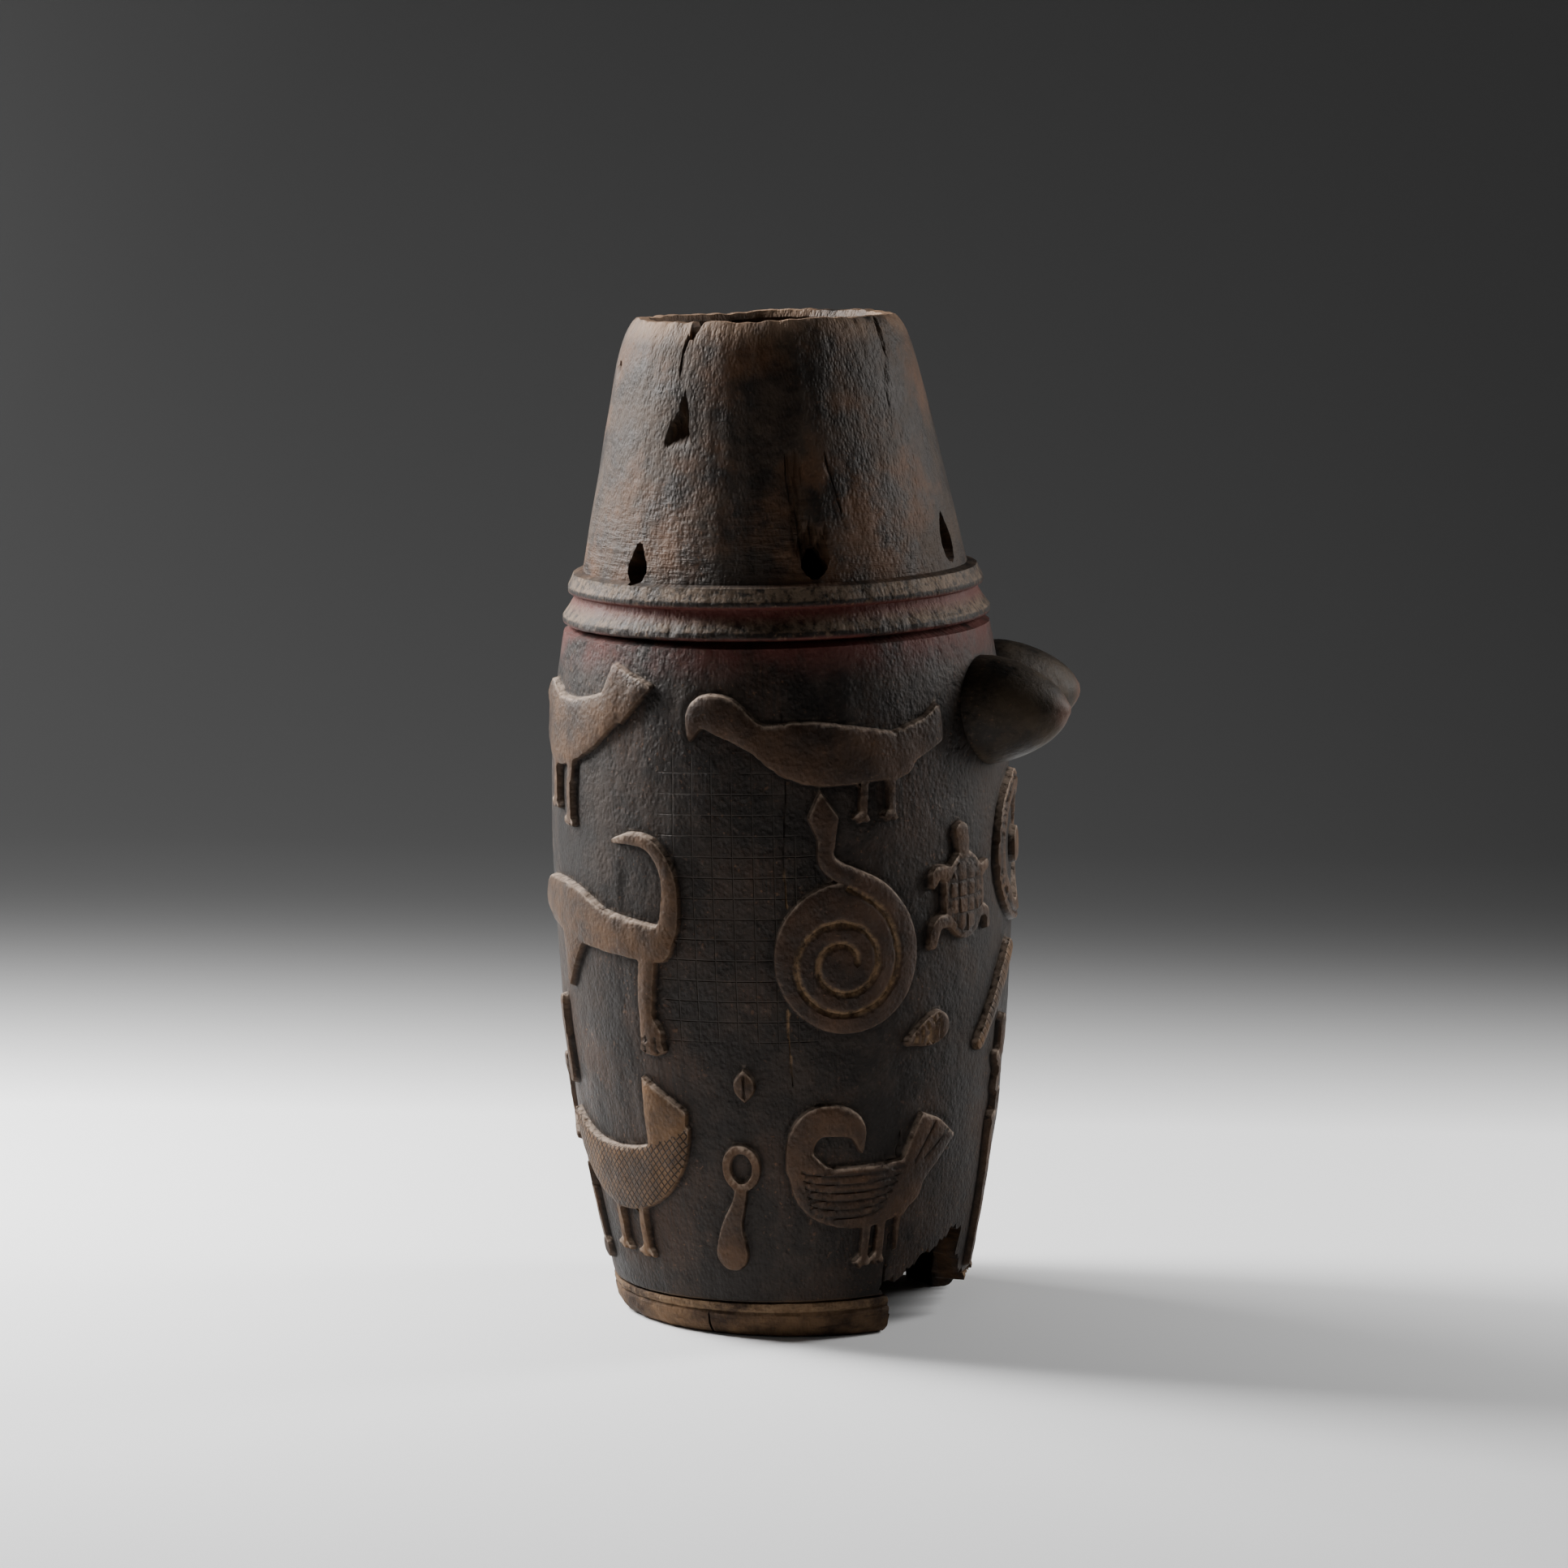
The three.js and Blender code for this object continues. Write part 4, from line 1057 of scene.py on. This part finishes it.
def wood_material():
    """Old dark wood: blackened ground, browner figures worn pale on their edges, painted highlights on
    their upper edges and painted shade at their feet, a red band, a tan rim and base ring, with cuts,
    cracks, grain and tool marks."""
    material = bpy.data.materials.new("old_carved_wood")
    material.use_nodes = True
    p = Paint(material)
    solid = p.put("ShaderNodeTexCoord").outputs["Object"]
    flat = p.put("ShaderNodeUVMap", uv_map="girth").outputs[0]
    split = p.put("ShaderNodeSeparateXYZ", {0: flat})
    girth, up = split.outputs[0], split.outputs[1]
    relief, edge, cut, weave, tone = map(p.attribute, ("relief", "edge", "cut", "weave", "tone"))
    scraped, breast, tip, inside, fresh = map(p.attribute, ("scraped", "breast", "tip", "inside", "fresh"))

    # Textures: broad and small patches, dirt, wood grain along the log, and marks of the adze
    broad = p.noise(solid, 4.0)
    patch = p.noise(solid, 17.0, 6.0, 0.65)
    blotch = p.noise(solid, 8.0, 5.0, 0.6)
    fine = p.noise(solid, 110.0, 6.0, 0.7)
    grain = p.noise(p.scaled(flat, (75.0, 4.0, 1.0)), 3.0, 6.0, 0.7)
    level_marks = p.noise(p.scaled(flat, (9.0, 60.0, 1.0)), 2.0, 4.0, 0.6)
    upright = p.scaled(flat, (1.0, 0.8, 1.0))
    chips = p.cells(upright, 70.0, "SMOOTH_F1")
    peck = p.cells(upright, 190.0)

    # Bands by height
    neck = p.ramp(up, 0.853, 0.860)
    base = p.ramp(up, 0.046, 0.041)

    # Ground and figures, edges worn, upper edges scraped pale and painted highlit, painted shade at their
    # feet
    wood = p.between(patch, 0.44, 0.60, (0.0030, 0.0025, 0.0025), (0.0205, 0.0148, 0.0120))
    wood = p.coat(wood, (0.033, 0.0175, 0.0110), p.ramp(blotch, 0.50, 0.64), p.ramp(grain, 0.36, 0.60), 0.8)
    dull = p.between(patch, 0.38, 0.66, (0.0085, 0.0045, 0.0034), (0.034, 0.0165, 0.0110))
    warm = p.between(patch, 0.36, 0.62, (0.030, 0.0165, 0.0090), (0.125, 0.066, 0.029))
    wood = p.mix(relief, wood, p.mix(tone, dull, warm))
    off_edge = p.number("ABSOLUTE", p.plus(edge, 1.5))
    wood = p.coat(wood, (0.11, 0.072, 0.048), p.ramp(off_edge, 2.2, 0.4), p.ramp(fine, 0.40, 0.62), 0.40)
    # Pale upward-facing edges: scraped wear and dust, and a painted highlight
    wood = p.coat(wood, (0.34, 0.26, 0.20), scraped, p.ramp(fine, 0.34, 0.54), 0.75)
    # Dark band on the ground just outside each figure: painted shade at the foot of the raised edge
    wood = p.coat(wood, (0.004, 0.003, 0.003), p.band(edge, 0.4, 1.4, 1.8, 6.5), 0.85)

    # Neck: dark and dusty, with rusty patches, and a tan rim
    rusty = p.product(p.ramp(blotch, 0.47, 0.60), p.ramp(patch, 0.36, 0.54))
    neck_wood = p.between(patch, 0.40, 0.62, (0.0092, 0.0068, 0.0057), (0.044, 0.0295, 0.0205))
    neck_wood = p.coat(neck_wood, (0.094, 0.043, 0.0200), rusty, 0.72)
    neck_wood = p.coat(neck_wood, (0.20, 0.125, 0.078), p.ramp(up, 1.122, 1.152), p.ramp(patch, 0.34, 0.58))
    wood = p.mix(neck, wood, neck_wood)

    # Rings: dark crests with chips and pale worn slopes; red pigment in the groove and fading below
    slopes = p.most(p.band(up, *UPPER_SLOPE), p.band(up, *LOWER_SLOPE))
    ring_wood = p.between(fine, 0.54, 0.63, (0.0052, 0.0038, 0.0031), (0.062, 0.037, 0.021))
    slopes = p.product(slopes, p.ramp(fine, 0.36, 0.54), p.ramp(patch, 0.38, 0.54, 0.2, 1.0))
    ring_wood = p.mix(slopes, ring_wood, (0.130, 0.090, 0.060))
    wood = p.mix(p.band(up, *RINGS), wood, ring_wood)
    red_below = p.product(p.band(up, *RED_BELOW_RINGS), p.ramp(patch, 0.36, 0.56))
    wood = p.coat(wood, (0.080, 0.0185, 0.0150), p.most(p.band(up, *RED_GROOVE), red_below), 0.80)

    # Base ring: worn brown and ochre with dark level scratches and a pale bead
    bead = p.product(p.band(up, *BASE_BEAD), p.ramp(fine, 0.38, 0.56), p.ramp(patch, 0.36, 0.52))
    base_wood = p.between(patch, 0.40, 0.62, (0.024, 0.014, 0.009), (0.115, 0.066, 0.034))
    base_wood = p.coat(base_wood, (0.016, 0.010, 0.007), p.ramp(level_marks, 0.56, 0.68), 0.7)
    base_wood = p.coat(base_wood, (0.170, 0.110, 0.062), bead, 0.75)
    wood = p.mix(base, wood, base_wood)

    # Breasts: smooth olive brown, red-brown at their tips
    olive = p.between(patch, 0.40, 0.60, (0.0042, 0.0032, 0.0023), (0.0360, 0.0250, 0.0150))
    olive = p.coat(olive, (0.075, 0.040, 0.028), tip, p.ramp(patch, 0.3, 0.5))
    wood = p.mix(breast, wood, olive)

    # Scratched patterns: a net on the open ground, and hatching on figures, crossed or slanting
    net = p.number("MINIMUM", *(p.number("PINGPONG", way, NET_HALF_CELL) for way in (girth, up)))
    net = p.product(p.ramp(net, 0.0010, 0.0003), p.band(up, *NET_HEIGHT), p.band(girth, *NET_GIRTH))
    net = p.product(net, p.rest(relief), p.ramp(broad, 0.42, 0.54))
    bent = p.product(p.plus(patch, -0.5), 0.006)
    ways = (p.plus(girth, p.product(up, lean), bent) for lean in (0.7, -1.1))
    first, second = (p.ramp(p.number("PINGPONG", way, HATCH_HALF_CELL), 0.0013, 0.0004) for way in ways)
    crossed = p.product(p.most(first, second), p.ramp(p.number("ABSOLUTE", p.plus(weave, -1.0)), 0.5, 0.4))
    slanting = p.product(first, p.ramp(weave, 1.6, 1.8), 0.5)
    scratches = p.most(net, p.product(p.most(crossed, slanting), relief))
    scratch_wood = p.mix(relief, (0.034, 0.026, 0.020), (0.007, 0.005, 0.0035))
    wood = p.coat(wood, scratch_wood, scratches, p.ramp(relief, 0.0, 1.0, 0.5, 0.85))

    # Cuts: ochre dirt in the snake's wide grooves, dark elsewhere, and painted shade in the breasts' root
    # creases
    in_snake = p.product(p.band(up, *SNAKE_HEIGHT), p.band(girth, *SNAKE_GIRTH))
    ochre = p.between(fine, 0.4, 0.6, (0.040, 0.024, 0.013), (0.210, 0.128, 0.066))
    wood = p.coat(wood, p.mix(in_snake, (0.007, 0.005, 0.004), ochre), p.ramp(cut, 0.1, 0.7), 0.75)

    # Dust in the pores, flecks and spots, the plain hollow, and bare broken wood
    flecks = p.ramp(p.noise(solid, 210.0, 3.0), 0.64, 0.70)
    spots = p.ramp(p.noise(solid, 60.0, 2.0), 0.72, 0.78)
    wood = p.coat(wood, (0.085, 0.060, 0.044), p.ramp(fine, 0.57, 0.70), p.ramp(broad, 0.38, 0.58), 0.45)
    wood = p.coat(wood, (0.105, 0.052, 0.026), flecks, p.ramp(blotch, 0.40, 0.56), 0.6)
    wood = p.coat(wood, (0.085, 0.043, 0.023), spots, 0.6)
    wood = p.mix(inside, wood, p.mix(patch, (0.012, 0.008, 0.006), (0.048, 0.029, 0.018)))
    wood = p.mix(fresh, wood, p.between(grain, 0.40, 0.66, (0.012, 0.0068, 0.0040), (0.080, 0.042, 0.020)))

    # Sheen
    rough = p.plus(p.ramp(patch, 0.32, 0.68, 0.40, 0.62), p.product(fine, 0.16))
    rough = p.most(rough, p.product(p.most(fresh, inside, base), 0.8))

    # Marks that catch the light: dents, pores, grain, level cuts and scratches
    carved = p.rest(p.product(breast, 0.55))
    dents = p.plus(p.product(p.ramp(chips, 0.0, 0.6), 0.40), p.product(p.ramp(peck, 0.0, 0.6), 0.35))
    marks = p.plus(
        p.product(p.plus(dents, p.product(fine, 0.9)), carved),
        p.product(patch, breast, 1.6),
        p.product(grain, carved, p.rest(p.product(neck, 0.6)), 0.20),
        p.product(level_marks, base, 1.2),
        p.product(p.ramp(level_marks, 0.3, 0.7), p.band(up, *NECK_RIPPLES), neck, 0.8),
        p.product(scratches, -1.3),
    )
    bump = p.put("ShaderNodeBump", {"Height": marks, "Strength": 1.0, "Distance": MARK_DEPTH})
    p.finish({
        "Base Color": wood, "Roughness": rough, "Normal": bump.outputs[0],
        "Specular IOR Level": 0.24, "Specular Tint": (1.0, 0.88, 0.79, 1.0),
    })
    return material


def studio_material(name):
    """Matt paper, pale near the drum and darker towards the wall, the darkening being painted shade where
    light
    falls off: the share of the pale colour falls with the cube of the way back."""
    material = bpy.data.materials.new(name)
    material.use_nodes = True
    p = Paint(material)
    place = p.put("ShaderNodeSeparateXYZ", {0: p.put("ShaderNodeTexCoord").outputs["Object"]})
    # Painted shade: the paper darkens towards the back, where the lamps' light falls off
    share = p.ramp(place.outputs[1], FLOOR_SHADE_END, FLOOR_SHADE_START)
    paper = p.mix(p.product(share, share, share), DARK_PAPER_AND_SHADE, PALE_PAPER)
    p.finish({"Base Color": paper, "Roughness": 0.95, "Specular IOR Level": 0.1})
    return material


def make_stage():
    """A pale floor that runs back into a darker wall along a quarter circle, darkened on the way back by
    painted shade.
    """
    sides = np.array([-STAGE_HALF, STAGE_HALF])
    across, back = np.meshgrid(sides, [-STAGE_HALF, FLOOR_SHADE_START])
    near = np.stack([across, back, 0 * across], axis=-1)
    floor = make_mesh("floor", near, [[0, 1, 3, 2]])
    floor.data.materials.append(studio_material("pale_floor"))
    turn = np.linspace(0, math.pi / 2, 25)
    bend = SWEEP_START + SWEEP_RADIUS * np.sin(turn)
    depth = np.concatenate([[FLOOR_SHADE_START], bend, bend[-1:]])
    level = np.concatenate([[0.0], SWEEP_RADIUS * (1 - np.cos(turn)), [WALL_HEIGHT]])
    across, back = np.meshgrid(sides, depth)
    sweep = np.stack([across, back, np.repeat(level[:, None], 2, axis=1)], axis=-1)
    start = np.arange(len(depth) - 1) * 2
    strips = np.stack([start, start + 1, start + 3, start + 2], axis=-1)
    wall = make_mesh("backdrop", sweep, strips)
    wall.data.materials.append(studio_material("grey_backdrop"))


def make_lights():
    """White soft boxes that face their targets, and a faint even light from all round."""
    for name, place, target, size, power in SOFT_BOXES:
        light = bpy.data.lights.new(name, "AREA")
        light.shape = "RECTANGLE"
        light.size, light.size_y = size
        light.energy = power
        lamp = bpy.data.objects.new(name, light)
        lamp.location = place
        lamp.rotation_euler = (Vector(target) - Vector(place)).to_track_quat("-Z", "Y").to_euler()
        bpy.context.scene.collection.objects.link(lamp)
    world = bpy.data.worlds.new("studio")
    world.use_nodes = True
    world.node_tree.nodes["Background"].inputs[0].default_value = (0.5, 0.5, 0.5, 1.0)
    world.node_tree.nodes["Background"].inputs[1].default_value = WORLD_STRENGTH
    bpy.context.scene.world = world


def make_camera():
    """The photograph's camera: level distance, height and pitch about the drum's foot."""
    back = (math.sin(VIEW_TURN), -math.cos(VIEW_TURN))
    right = (math.cos(VIEW_TURN), math.sin(VIEW_TURN))
    view = bpy.data.cameras.new("photo_view")
    view.lens = VIEW_LENS
    view.sensor_width = 36.0
    view.sensor_fit = "HORIZONTAL"
    view.clip_end = 60
    eye = bpy.data.objects.new("photo_view", view)
    eye.location = (
        AXIS_FOOT[0] - VIEW_SIDE_STEP * right[0] + VIEW_DISTANCE * back[0],
        AXIS_FOOT[1] - VIEW_SIDE_STEP * right[1] + VIEW_DISTANCE * back[1],
        VIEW_HEIGHT,
    )
    eye.rotation_euler = (math.pi / 2 - VIEW_PITCH, 0, VIEW_TURN)
    bpy.context.scene.collection.objects.link(eye)
    bpy.context.scene.camera = eye


make_camera()
make_stage()
make_lights()
drum = make_drum()
drum.data.materials.clear()
drum.data.materials.append(wood_material())
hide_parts("drum_body")
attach(drum, "root")
